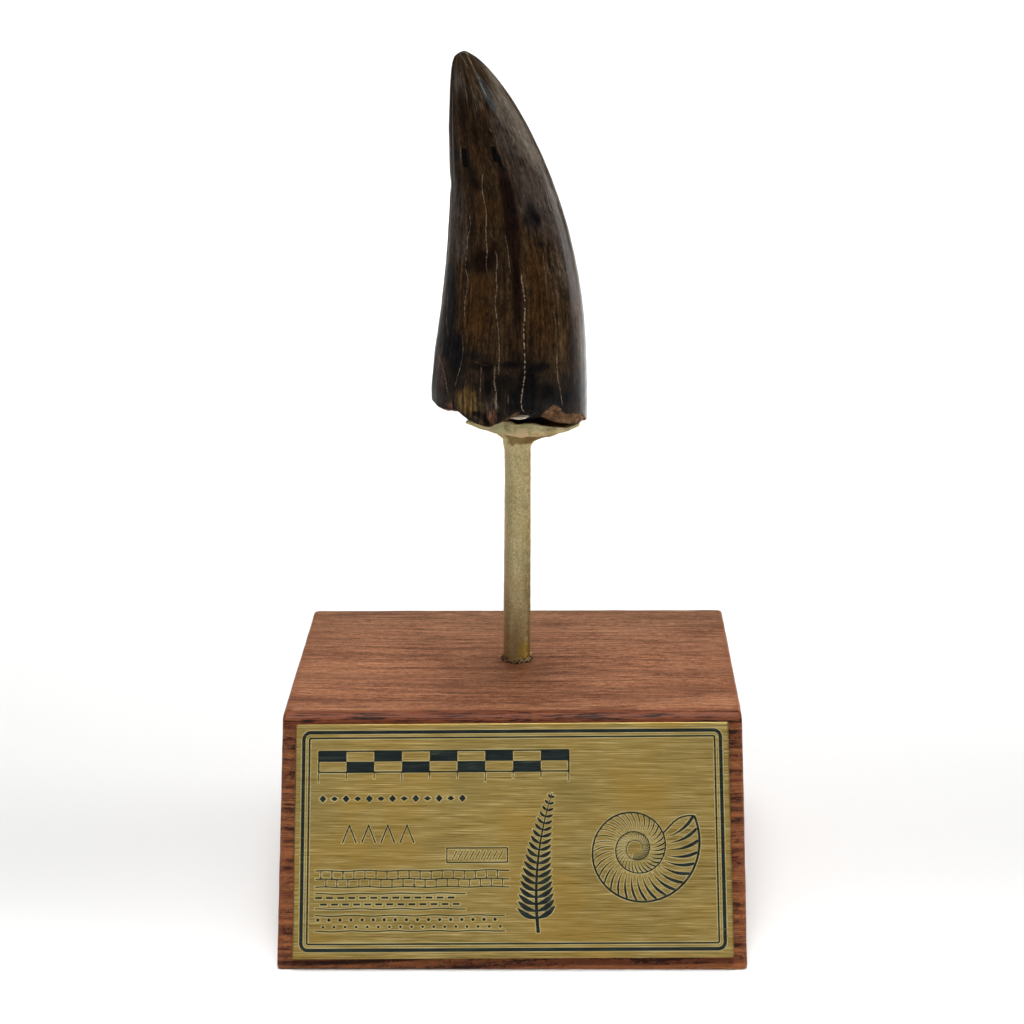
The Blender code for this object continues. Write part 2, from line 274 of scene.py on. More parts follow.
def makeStudio():
    # a pale floor, an even fill and soft boxes
    reach = studio["floorReach"]
    mesh = bpy.data.meshes.new("floor")
    mesh.from_pydata([(-reach, -reach, 0), (reach, -reach, 0), (reach, reach, 0), (-reach, reach, 0)],
                     [], [(0, 1, 2, 3)])
    mesh.materials.append(endMaterial(startMaterial("paleFloor")[0], {
        "Base Color": studio["floorColour"], "Roughness": 0.9}))
    floor = putInScene("floor", mesh)
    for name, place, size, watts, spread in studio["lamps"]:
        lamp = bpy.data.lights.new(name, "AREA")
        lamp.shape = "RECTANGLE"
        lamp.size, lamp.size_y = size
        lamp.energy, lamp.spread = watts, math.radians(spread)
        holder = putInScene(name, lamp)
        holder.location = place
        aim = (place[0], place[1] - 0.01, 0) if "Floor" in name else studio["aim"]
        holder.rotation_euler = (Vector(aim) - Vector(place)).to_track_quat("-Z", "Y").to_euler()
    world = bpy.data.worlds.new("studio")
    bpy.context.scene.world = world
    world.use_nodes = True
    tree = world.node_tree
    seen = addNode(tree, "LightPath", out="Is Camera Ray")
    sky = tree.nodes["Background"].inputs
    fill(tree, sky["Strength"], addNode(tree, "MapRange", seen, 0, 1, studio["fill"], 1))
    fill(tree, sky["Color"], "ffffff")
    bpy.context.scene.view_settings.view_transform = "Standard"


makeCamera()
makeStudio()

# The tooth

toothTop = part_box("tooth")[1][2] / mm
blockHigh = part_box("base_block")[1][2] / mm
axisY = sum(corner[1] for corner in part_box("post")) / 2 / mm   # post, saddle and tooth share one middle

crown = {
    # depth below the tip, left edge, right edge, half thickness
    "sections": (
        (0.0, -9.50, -9.50, 0.0), (0.40, -10.72, -8.40, 0.95), (1.30, -11.70, -7.00, 2.0),
        (4.4, -12.38, -3.85, 3.5), (8.2, -12.69, -0.82, 4.6), (16.9, -12.99, 4.48, 6.5),
        (28.6, -12.95, 9.70, 8.2), (41.2, -13.81, 13.60, 9.6), (54.8, -15.53, 16.13, 10.7),
        (61.0, -16.47, 16.66, 11.1), (68.6, -17.58, 16.94, 11.5), (75.6, -18.22, 17.04, 11.8),
        (84.6, -18.20, 17.04, 11.8)),
    "tipX": -9.5,
    "egg": 0.12,                      # how much fuller the section is away from the cutting edge
    "cuttingEdge": 0.3,               # how far the section is drawn out to that edge
    "bow": 2.0,                       # how far the tip stands behind the base
    # the broken lower edge: angle, depth of the skin's edge, depth of the wall's own lip, its set-back
    "break": (
        (0, 82.0, 82.4, 0.8), (20, 80.2, 80.9, 0.8), (45, 78.4, 79.5, 1.0), (70, 80.2, 80.7, 0.6),
        (90, 80.7, 81.0, 0.5), (110, 79.1, 80.2, 1.0), (135, 77.6, 78.3, 0.6), (160, 79.0, 79.4, 0.5),
        (180, 77.3, 77.6, 0.4), (193, 77.5, 77.8, 0.4), (200, 78.0, 78.4, 0.5), (213, 78.4, 78.8, 0.5),
        (230, 78.2, 78.6, 0.5), (235, 79.0, 79.3, 0.4), (241, 79.9, 80.2, 0.4), (250, 80.7, 81.0, 0.4),
        (256, 81.0, 81.3, 0.4), (262, 80.1, 80.4, 0.4), (266, 79.5, 79.8, 0.5), (272, 78.3, 78.9, 0.8),
        (279, 77.0, 78.4, 1.0), (286, 77.9, 78.5, 0.8), (294, 77.9, 78.9, 0.8), (300, 76.8, 79.4, 1.1),
        (305, 75.9, 80.0, 1.3), (310, 76.8, 80.6, 1.3), (315, 78.5, 81.1, 1.1), (325, 79.0, 81.7, 1.0),
        (339, 79.6, 82.0, 0.9), (344, 80.6, 82.0, 0.8), (352, 81.9, 82.3, 0.6), (360, 82.0, 82.4, 0.8)),
    "raggedness": 0.10,               # height of the small jags of the broken edge
    "wall": 3.4, "wallSlope": 0.8,    # the wall's thickness, and how much higher its inner edge is
    # the pulp hollow: depth, half length, half thickness, and the depth of its top
    "hollow": ((68.2, 2.5, 1.6), (69.2, 7.0, 4.2), (71.4, 11.2, 6.6), (74.4, 13.6, 8.2)),
    "hollowTop": 68.0,
    # flats worn on the tip, each a plane through three places (angle, depth)
    "flats": (((292, 0.7), (287, 9.6), (316, 8.0)), ((238, 0.5), (270, 3.2), (292, 0.5))),
    "flatReach": 16,                  # depth down to which they cut
    # swellings and dents: angle, depth, half width, half height, lift
    "dents": (
        (180, 28.6, 7, 1.6, -0.22), (239, 75.5, 9, 3.6, -0.16), (257, 78.4, 5, 2.6, -0.30),
        (198, 70.0, 8, 5.0, -0.10), (60, 74.0, 10, 4.0, -0.20), (120, 40.0, 9, 6.0, -0.12),
        (300, 74.0, 16, 5.0, 0.10), (225, 60.0, 14, 12.0, 0.08)),
    # broad swells and fine flutes: height, stretch along the growth, size, seed
    "relief": ((0.07, 0.35, 11, 3), (0.025, 0.05, 2.4, 4)),
    "bandRelief": 0.012, "bandSpacing": 5.2,
    "denticles": (12.0, 71.0), "denticlePitch": 0.5, "denticleHeight": 0.28, "keelWidth": 3.0,
    "noiseRadius": 15,                # of the straight cylinder that noise follows the growth on
    "columns": 148, "hollowRows": 22, "lipRows": 9, "lowRows": 46, "bodyRows": 500, "tipRows": 84,
    "tipDepth": 9.0, "levelDepth": 74.0,
}

rootX = sum(crown["sections"][-1][1:3]) / 2     # middle of the crown's lowest section


def crownPoint(angle, depth, inset=0.0):
    # an oval between the left and the right edge, fuller to the right, drawn to an edge at 180 degrees
    # by a power of the sine, moved back by a parabola in height, and set in by inset
    turn = np.radians(angle)
    c, s = np.cos(turn), np.sin(turn)
    table = np.array(crown["sections"])
    left, right, half = np.moveaxis(
        smoothRead(np.sqrt(table[:, 0]), table[:, 1:], np.sqrt(np.maximum(depth, 0))), -1, 0)
    sway = np.sign(s) * np.abs(s) ** (1 + crown["cuttingEdge"] * (1 - c) / 2) * (1 + crown["egg"] * c)
    back = crown["bow"] * (1 - depth / table[-1, 0]) ** 2
    return np.stack([(left + right) / 2 + ((right - left) / 2 - inset) * c,
                     axisY + back + (half - inset) * sway, toothTop - depth + 0 * c], -1)


def growthPlace(angle, depth):
    # where a point would lie on a straight cylinder with the depth as its height, so that noise
    # stretched along it follows the crown's growth
    return oval(angle, crown["noiseRadius"], crown["noiseRadius"], depth)


def denticleWave(angle, depth):
    # along the cutting edge: the root of a sine of the depth, faded at the row's two ends
    first, last = crown["denticles"]
    fade = smoothStep(first, first + 5, depth) * smoothStep(last, last - 5, depth)
    return fade * bell(angle, 180, crown["keelWidth"]) * (
        np.abs(np.sin(math.pi * depth / crown["denticlePitch"])) ** 0.5 - 0.35)


def crownRelief(angle, depth):
    # lift off the plain crown: swells and flutes along the growth, growth bands, dents, denticles
    place = growthPlace(angle, depth)
    lift = softSpots(crown["dents"], angle, depth)
    for height, stretch, size, seed in crown["relief"]:
        lift += height * waves(place * (1, 1, stretch), size, seed)
    lift += crown["bandRelief"] * np.sin(
        depth * 2 * math.pi / crown["bandSpacing"] + 1.2 * waves(place, 14, 5))
    lift += crown["denticleHeight"] * denticleWave(angle, depth)
    return lift * smoothStep(0, 4, depth)


def crownAngles():
    # columns all round, closest together where a density peaks at the cutting edge
    fine = np.linspace(0, 360, 3601)
    density = 1 + 7 * bell(fine, 180, 4) + 0.35 * (fine > 185) * (fine < 355)
    total = np.concatenate([[0], np.cumsum((density[1:] + density[:-1]) / 2)])
    return np.interp(np.arange(crown["columns"]) / crown["columns"] * total[-1], total, fine)


def crownGrid(angle):
    # rings from the hollow's top, down its wall, round the broken edge and up the skin to the tip;
    # gives the points, their depths along the skin, and how far each row is inside (0 on the skin)
    jagPlace = growthPlace(angle, 0)
    jag = crown["raggedness"] * (waves(jagPlace, 5, 11) + 0.6 * waves(jagPlace, 1.6, 12))
    table = np.array(crown["break"])
    edge, lip, setBack = smoothRead(table[:, 0], table[:, 1:], angle).T
    edge = edge + jag
    lip = np.maximum(lip + 0.6 * np.roll(jag, 3), edge + 0.1)
    wallTop = crownPoint(angle, lip - crown["wallSlope"], crown["wall"])
    lipPoint = crownPoint(angle, lip, setBack)
    rings = [oval(angle, across, along, toothTop - depth, (rootX, axisY))
             for depth, across, along in crown["hollow"]]
    inner = smoothRead(np.arange(len(rings) + 1), np.stack(rings + [wallTop]),
                       np.linspace(0, len(rings), crown["hollowRows"]))
    share = np.linspace(0, 1, crown["lipRows"])[:, None, None]
    torn = np.concatenate([inner, (wallTop * (1 - share) + lipPoint * share)[1:],
                           (lipPoint * (1 - share) + crownPoint(angle, edge) * share)[1:-1]])
    grit = 0.06 * waves(torn, 1.6, 21) + 0.03 * waves(torn, 0.8, 22)
    grit *= np.clip(np.arange(len(torn)) / 24, 0.3, 1)[:, None]      # finer deep in the hollow
    torn += gridNormals(torn) * grit[..., None]
    level, tip = crown["levelDepth"], crown["tipDepth"]
    depth = np.concatenate([
        edge + (level - edge) * np.linspace(0, 1, crown["lowRows"])[:, None] ** 1.15,
        np.linspace(level, tip, crown["bodyRows"])[1:, None] + 0 * angle,
        np.linspace(math.sqrt(tip), 0.12, crown["tipRows"])[1:, None] ** 2 + 0 * angle])
    skin = crownPoint(angle, depth)
    skin += gridNormals(skin) * crownRelief(angle, depth)[..., None]
    centre = crownPoint(np.array([0.0, 90.0, 180.0, 270.0]), np.full(4, tip)).mean(0)
    for places in crown["flats"]:
        corner = crownPoint(*(np.array(item, float) for item in zip(*places)))
        flat = np.cross(corner[1] - corner[0], corner[2] - corner[0])
        flat *= np.sign(flat @ (corner[1] - centre)) / np.linalg.norm(flat)
        over = np.maximum((skin - corner[0]) @ flat, 0) * (depth < crown["flatReach"])
        skin -= over[..., None] * flat
    inside = np.concatenate([np.linspace(2, 1, len(inner)), np.ones(len(torn) - len(inner)),
                             np.zeros(len(depth))])[:, None] + 0 * angle
    return np.concatenate([torn, skin]), np.concatenate([toothTop - torn[..., 2], depth]), inside


stains = {
    # each stain's patches, laid one over another in this order: angle, depth, half width, half height,
    # strength
    "root": ((270, 75.8, 400, 8.3, 1.0),),
    "amber": (
        (242, 56.2, 17, 8, 0.75), (294, 56.9, 13, 9, 0.8), (293, 44.4, 11, 6, 0.7),
        (251, 33.4, 20, 4.4, 0.7), (251, 21.3, 16, 3.4, 0.5), (266, 13.4, 6, 3, 0.5),
        (271, 62.3, 8, 3.3, 0.5), (246, 49.1, 12, 2, 0.6), (265, 54.8, 5, 4.2, 0.4), (52, 52, 17, 10, 0.8),
        (116, 38, 12, 9, 0.7), (84, 60, 14, 5, 0.7), (30, 36, 10, 8, 0.5), (140, 57, 9, 9, 0.7),
        (74, 21, 18, 5, 0.6)),
    # greyBrown is a stain; on the upper right flank, angles 312 to 348, it also paints the light from the
    # right
    "greyBrown": (
        (345, 5.2, 24, 3, 0.8), (312, 10.9, 26, 4, 1.0), (321, 19.9, 26, 5, 1.0), (320, 13.8, 18, 3, 0.6),
        (348, 30.4, 18, 5, 0.55), (228, 5.9, 24, 4.6, 0.55), (262, 9.5, 14, 4.5, 0.35),
        (317, 46.5, 14, 6.4, 0.4), (25, 16, 26, 7, 0.8), (100, 10, 30, 6, 0.5), (8, 46, 16, 9, 0.5),
        (150, 30, 10, 10, 0.4)),
    "mauve": (
        (288, 17.7, 14, 6, 0.75), (304, 30.6, 24, 8, 0.9), (327, 2.6, 36, 1.5, 0.5),
        (213, 35.2, 18, 11, 0.6), (222, 42.5, 11, 3, 0.4), (322, 39.5, 14, 5, 0.5), (70, 34, 20, 9, 0.8),
        (128, 22, 16, 7, 0.7), (10, 58, 12, 7, 0.6), (105, 50, 9, 9, 0.5)),
    "steel": (
        (289.5, 7.8, 9, 2.2, 1.0), (293, 5.1, 9, 1.6, 0.5), (290.6, 10.9, 7, 1.6, 0.6),
        (302.8, 14.3, 4, 1.2, 0.6), (60, 12, 8, 3, 0.7)),
    "dried": (
        (276.5, 28.1, 7, 4.4, 1.0), (275, 37, 8, 7, 1.1), (245, 44.3, 12, 3, 1.0),
        (241.4, 27.8, 7, 2, 0.8), (275, 51.3, 4, 8.6, 1.0), (264, 55.5, 3.6, 3.3, 0.6),
        (233.4, 12.2, 9, 8.5, 0.6), (250.3, 16.9, 7, 2.4, 0.7), (281, 11.1, 3.6, 1.4, 0.8),
        (272.5, 16.7, 5, 1.8, 0.6), (257.4, 41, 4.6, 3.4, 0.6), (94, 42, 5, 12, 0.9), (60, 64, 8, 3, 0.8),
        (130, 46, 6, 7, 0.8), (40, 26, 7, 5, 0.8), (158, 50, 5, 9, 0.6)),
    "blueBlack": (
        (208.3, 22, 11, 1.9, 0.8), (298, 34.1, 9, 3.9, 0.8), (210.7, 55.8, 11, 7, 1.0),
        (207.8, 63.8, 13, 2.7, 1.2), (226.7, 66.3, 9, 4.7, 1.1), (200.6, 47.6, 12, 3, 0.7),
        (244.7, 65.1, 7.5, 1.4, 0.6), (313.6, 75.6, 17, 3, 0.8), (218, 27.2, 10, 1.2, 0.5),
        (350, 74, 16, 4, 0.8), (20, 66, 18, 2.4, 0.8), (110, 66, 20, 2, 0.9), (150, 72, 12, 5, 0.9),
        (85, 27, 8, 3, 0.7)),
    "black": (
        (288.5, 78.4, 7.5, 1.7, 1.3), (283.7, 72.2, 7.5, 6.6, 1.2), (296.6, 67.4, 6.6, 1.3, 0.8),
        (267.3, 70.1, 5, 2, 0.7), (300, 73.4, 7, 2.4, 0.9), (249.4, 67.4, 13, 1.3, 0.7),
        (255.4, 71.8, 4.2, 3.6, 0.8), (273, 75.3, 6, 2.8, 0.8), (270.5, 66.7, 8, 1.0, 0.8),
        (302.8, 35.1, 5, 2.2, 0.8), (278.6, 33.2, 5, 1.0, 0.7), (289.1, 35.4, 4, 1.6, 0.7),
        (301.8, 40.6, 4, 0.9, 0.9), (276, 36.6, 6, 1.0, 0.6), (302, 20, 3, 0.9, 0.6),
        (281.1, 6.3, 5, 1.2, 0.6), (277, 24.2, 5, 1.2, 0.7), (15, 25, 4, 2.4, 0.8), (36, 73, 10, 5, 1.0),
        (76, 70, 6, 4, 0.9), (118, 75, 9, 3, 1.0)),
    "ruddy": ((205, 72.2, 11, 4.6, 1.1), (246.8, 70, 6, 1.5, 0.5), (64, 76, 8, 3, 0.6)),
    "olive": ((239.5, 75.8, 10.5, 3.0, 1.15), (259.8, 74.5, 3.4, 3, 0.4), (95, 76, 7, 3, 0.8)),
    "red": (
        (258.2, 78.6, 3.2, 2.0, 1.1), (250, 80.2, 1.6, 0.9, 0.9), (222.2, 77.2, 4.6, 0.7, 0.8),
        (202.1, 67.6, 3, 2.4, 0.6), (138, 76.5, 5, 1.4, 0.8)),
    "slots": (
        (252.6, 79.0, 1.4, 1.6, 1.2), (247.6, 78.3, 1.6, 1.2, 1.1), (255.6, 80.2, 0.8, 0.8, 0.9),
        (243.6, 78.2, 1.4, 0.8, 0.9)),
    "spots": (
        (228.5, 22.3, 4.1, 2.1, 1.2), (271.5, 21.2, 3.6, 1.7, 1.2), (275.6, 22.6, 3.2, 1.5, 0.9),
        (281, 27.5, 1.4, 0.5, 0.8)),
}

# cracks filled with matrix, and at the tip pale lines of painted highlight along the worn flats' edges:
# half width in mm, paleness, how much of it is lost in the gaps, then the places from top to bottom, each
# an angle and a depth
cracksAndHighlights = (
    (0.065, 0.62, 0.68, (252.1, 25.4), (249.4, 27.1), (248.7, 30.1), (250.4, 33.3), (249.0, 38.7),
     (249.6, 41.7), (248.9, 45.7), (250.4, 46.9)),
    (0.05, 0.5, 0.68, (251.9, 37.6), (254.8, 38.8), (257.8, 39.6)),
    (0.055, 0.65, 0.9, (229.2, 33.9), (232.1, 36.4), (229.4, 39.1), (227.9, 42.6), (227.4, 46.2),
     (230.7, 48.4), (230.7, 50.6), (229.5, 53.1), (230.3, 57.1)),
    (0.08, 0.48, 0.68, (257.8, 42.0), (258.9, 44.4), (257.8, 46.8), (258.2, 50.1), (257.1, 53.2),
     (259.9, 58.2), (261.8, 63.2), (262.5, 69.0)),
    (0.045, 0.5, 0.68, (267.5, 38.3), (269.1, 40.9), (269.6, 44.3), (270.4, 46.7)),
    (0.075, 1.15, 0.95, (279.4, 46.9), (279.8, 48.6), (280.4, 50.0), (281.3, 53.1), (281.0, 55.6),
     (280.1, 58.9), (280.9, 63.2), (281.7, 67.0), (281.6, 69.8), (280.2, 73.4), (279.8, 76.0),
     (281.8, 77.9)),
    (0.045, 0.35, 0.68, (302.0, 42.2), (301.7, 45.8), (300.9, 50.3), (300.8, 52.7)),
    (0.06, 0.62, 0.68, (320.7, 23.4), (322.4, 26.0), (325.9, 28.9), (326.0, 34.1), (333.1, 34.7),
     (333.2, 36.2), (339.4, 38.5)),
    (0.055, 0.55, 0.68, (230.3, 61.1), (232.2, 66.4), (229.1, 70.5), (227.5, 72.4)),
    (0.055, 0.75, 0.68, (308.1, 64.1), (308.6, 70.1), (310.7, 72.8), (313.0, 76.7)),
    (0.045, 0.55, 0.68, (305.5, 55.0), (308.0, 58.6)),
    (0.05, 0.5, 0.68, (202.6, 52.1), (206.7, 58.4), (213.3, 61.5)),
    (0.09, 0.5, 0.68, (259.6, 67.3), (259.8, 70.9), (261.5, 73.5), (261.0, 77.0)),
    (0.045, 0.5, 0.68, (249.0, 67.5), (249.4, 73.8)),
    (0.04, 0.7, 0.68, (270.2, 73.5), (270.3, 75.5)),
    # the next three are painted highlight along the edges of the two worn flats, not cracks
    (0.11, 0.6, 0.68, (243.9, 0.7), (264.4, 1.6), (273.6, 3.1)),
    (0.12, 0.75, 0.68, (299.3, 0.6), (292.9, 2.5), (290.6, 3.9), (291.0, 5.4)),
    (0.10, 0.6, 0.68, (288.4, 5.7), (287.1, 7.6), (286.8, 9.5)),
    (0.10, 1.5, 0.0, (274.4, 16.1), (274.8, 16.3)),
    (0.06, 0.6, 0.68, (315.4, 12.2), (316.8, 14.5)),
    (0.06, 0.6, 0.68, (304.3, 17.5), (304.6, 19.0)),
    (0.10, 0.4, 0.68, (222.6, 20.2), (221.6, 23.5)),
    (0.06, 0.6, 0.68, (40.0, 30.0), (44.0, 44.0), (42.0, 58.0), (47.0, 77.0)),
    (0.06, 0.9, 0.68, (92.0, 18.0), (90.0, 36.0), (94.0, 52.0), (91.0, 78.0)),
    (0.05, 0.5, 0.68, (66.0, 40.0), (70.0, 52.0), (67.0, 66.0)),
    (0.06, 0.6, 0.68, (131.0, 34.0), (134.0, 50.0), (130.0, 66.0), (136.0, 76.0)),
    (0.10, 0.34, 0.6, (191.4, 66.2), (199.0, 67.2), (206.3, 67.9), (211.5, 69.6), (215.4, 71.2),
     (219.5, 74.3)),
    (0.30, 0.42, 0.8, (246.0, 66.7), (251.0, 67.1), (257.5, 67.2)),
    (0.22, 0.30, 0.3, (261.0, 74.0), (261.6, 77.3)),
    (0.30, 0.45, 0.9, (287.0, 77.4), (292.5, 78.0)),
)

enamelLook = {
    "base": ((0.28, "120b06"), (0.42, "261a10"), (0.54, "3e2d1b"), (0.68, "5f492f")),
    # features per mm across the growth and along it, detail, roughness
    "noise": {"clouds": (0.22, 0.07, 4, 0.65), "streaks": (1.5, 0.09, 5, 0.72),
              "flecks": (1.3, 0.34, 5, 0.75), "specks": (2.4, 0.9, 3, 0.65),
              "mottle": (0.5, 0.28, 4, 0.7), "grooves": (1.25, 0.05, 2, 0.65), "gaps": (0.4, 1.5, 3, 0.65)},
    "stainColours": {"root": "241d17", "amber": "3f2912", "greyBrown": "6d6255", "mauve": "4c413a",
                     "steel": "41484c", "dried": "180904", "blueBlack": "0d0f12", "black": "08080a",
                     "ruddy": "30201b", "olive": "584322", "red": "64432f", "slots": "0a0605",
                     "spots": "040609"},
    # a stain's edge: its raggedness, where it starts and is full, and how much then covers
    "softEdge": (0.8, 0.15, 0.80, 0.92), "sharpEdge": (0.45, 0.42, 0.62, 0.95),
    # light and dark by noise: the noise's limits and how dark and how light it makes them
    "tones": {"streaks": (0.32, 0.68, 0.36, 1.75), "grooves": (0.42, 0.58, 0.35, 1.5),
              "flecks": (0.33, 0.5, 0.64, 1.10), "mottle": (0.38, 0.62, 0.74, 1.28),
              "specks": (0.34, 0.66, 0.62, 1.5)},
    "torn": ((0.32, "3c2b1a"), (0.50, "6b4e33"), (0.68, "967350")), "veins": "24160d",
    # hollow: near-black painted shade inside the pulp hollow
    "hollow": "0a0706", "matrix": "a8947a",
    "roughness": (0.14, 0.25), "tornRoughness": 0.8,
    "wobble": 0.003,                  # of the cracks, as a share of the way round
    # decimetres round the crown at the depth, in decimetres too
    "girth": (
        (0.0, 0.05), (0.044, 0.25), (0.082, 0.33), (0.169, 0.48), (0.286, 0.62), (0.412, 0.74),
        (0.548, 0.84), (0.7, 0.92), (1.0, 0.95)),
}


def makeEnamel():
    # polished fossil enamel, a hard glossy glaze over streaks and stains that run with the growth;
    # where it is broken away the dentine shows dull and tan
    look = enamelLook
    finish, add = startMaterial("fossilEnamel")
    grown = add("Attribute grown", out="Vector")
    uv = add("SeparateXYZ", add("UVMap")).node.outputs      # X is the way round, Y decimetres of depth
    inside, black, olive = (add("Attribute " + key, out="Fac") for key in ("inside", "black", "olive"))
    noise = {key: add("TexNoise", add("VectorMath MULTIPLY", grown, (across, across, along)), 1, *rest)
             for key, (across, along, *rest) in look["noise"].items()}
    base = weighted(add, (noise["flecks"], 0.28), (noise["streaks"], 0.30), (noise["clouds"], 0.42))
    colour = add("ValToRGB", base, stops=look["base"])
    ragged = add("Math ADD", add("MapRange", noise["flecks"], 0.3, 0.7, -0.30, 0.30),
                 add("MapRange", noise["streaks"], 0.3, 0.7, -0.28, 0.28))
    for key, hexCode in look["stainColours"].items():
        raggedness, low, high, most = look["sharpEdge" if key in ("spots", "slots") else "softEdge"]
        patch = add("Math MULTIPLY_ADD", ragged, raggedness, add("Attribute " + key, out="Fac"))
        colour = add("Mix RGBA", add("MapRange SMOOTHSTEP", patch, low, high, 0, most), colour, hexCode)
    strength = {"streaks": add("MapRange", uv["Y"], 0.36, 0.60, 0.32, 1.0), "grooves": olive}
    tone = 1.0
    for key, limits in look["tones"].items():
        factor = add("MapRange", noise[key], *limits)
        if key in strength:                      # 1 where the strength is 0
            factor = add("Math MULTIPLY_ADD", add("Math SUBTRACT", factor, 1.0), strength[key], 1.0)
        tone = add("Math MULTIPLY", tone, factor)
    colour = add("VectorMath SCALE", colour, tone)

    wander = add("TexNoise 1D", add("Math MULTIPLY", uv["Y"], 90.0), 1, 4)
    girth = add("Math MULTIPLY", add("MapRange", noise["specks"], 0.36, 0.64, 0.7, 1.5),
                add("FloatCurve", 1.0, uv["Y"], curve=look["girth"]))
    groove = 0.0
    for halfWidth, paleness, dotted, *places in cracksAndHighlights:
        path = add("FloatCurve", 1.0, uv["Y"], curve=[
            (depth / 100, angle / 360 - look["wobble"] / 2) for angle, depth in places])
        bend = add("Math MULTIPLY_ADD", wander, look["wobble"], path)
        apart = add("Math MULTIPLY", add("Math ABSOLUTE", add("Math SUBTRACT", uv["X"], bend)), girth)
        first, last = places[0][1] / 100, places[-1][1] / 100
        line = add("MapRange SMOOTHSTEP", apart, halfWidth * 0.006, halfWidth * 0.022, 1, 0)
        for limits in ((first - 0.004, first + 0.008, 0, 1), (last - 0.008, last + 0.004, 1, 0)):
            line = add("Math MULTIPLY", line, add("MapRange", uv["Y"], *limits))
        groove = add("Math MAXIMUM", groove, line)
        filled = add("MapRange", noise["gaps"], 0.44, 0.55, (1 - dotted) * paleness, 1.1 * paleness)
        share = add("Math MINIMUM", add("Math MULTIPLY", line, filled), 1.0)
        # matrix colour in the cracks, and painted highlight on the flats' edges
        colour = add("Mix RGBA", share, colour, look["matrix"])

    solid = add("TexCoord", out="Object")
    grit = add("TexNoise", solid, 700, 5, 0.7)
    layers = add("TexNoise", add("VectorMath MULTIPLY", solid, (260, 260, 700)), 1, 3)
    veins = add("MapRange", add("Math ABSOLUTE", add("Math SUBTRACT", layers, 0.5)), 0, 0.03, 0.8, 0)
    dentine = add("Mix RGBA", veins, add("ValToRGB", grit, stops=look["torn"]), look["veins"])
    # near-black painted shade over the dentine inside the hollow, and the same near-black on torn dentine
    # under the black stain
    for share in (add("MapRange", black, 0.3, 0.8), add("MapRange", inside, 1.0, 1.12)):
        dentine = add("Mix RGBA", share, dentine, look["hollow"])
    broken = add("MapRange", inside, 0.3, 0.8)
    gloss = add("MapRange", noise["flecks"], 0.3, 0.7, *look["roughness"])
    relief = add("Math MULTIPLY_ADD", groove, -0.8, add(
        "Math MULTIPLY", noise["streaks"], add("Math MULTIPLY_ADD", olive, 1.2, 0.5)))
    return endMaterial(finish, {
        "Base Color": add("Mix RGBA", broken, colour, dentine), "IOR": 1.55, "Specular IOR Level": 0.12,
        "Roughness": add("MapRange", broken, 0, 1, gloss, look["tornRoughness"])}, relief, 0.35, 0.00012)


def skinCorners(around, along, ends):
    # UV corners of a closed skin: around holds one value more than the columns, for the closing seam
    uv = np.stack(np.broadcast_arrays(around, np.concatenate([along, along[:, :1]], 1)), -1)
    between = (around[:-1] + around[1:]) / 2
    first, last = (np.stack([between, np.full(len(between), end)], -1) for end in ends)
    faces = (np.stack([uv[:-1, :-1], uv[:-1, 1:], uv[1:, 1:], uv[1:, :-1]], 2),
             np.stack([uv[0, 1:], uv[0, :-1], first], 1), np.stack([uv[-1, :-1], uv[-1, 1:], last], 1))
    return np.concatenate([item.reshape(-1, 2) for item in faces])


def makeTooth():
    angle = crownAngles()
    grid, depth, inside = crownGrid(angle)
    skin = closedSkin(grid, (rootX, axisY, toothTop - crown["hollowTop"]),
                      (crown["tipX"], axisY + crown["bow"], toothTop))
    values = {"grown": np.concatenate([growthPlace(angle, depth).reshape(-1, 3),
                                       [[0, 0, crown["hollowTop"]], [0, 0, 0]]]),
              "inside": np.append(inside.ravel(), 2)}
    for key, rows in stains.items():
        values[key] = softSpots(rows, angle, depth, 8 if key == "spots" else 2)
    corners = skinCorners(np.append(angle, 360) / 360, depth / 100, (crown["hollowTop"] / 100, 0))
    addPiece("fossilCrown", skin, makeEnamel(), "tooth", values=values, corners=corners)


makeTooth()

# The brass post and the saddle that carries the tooth

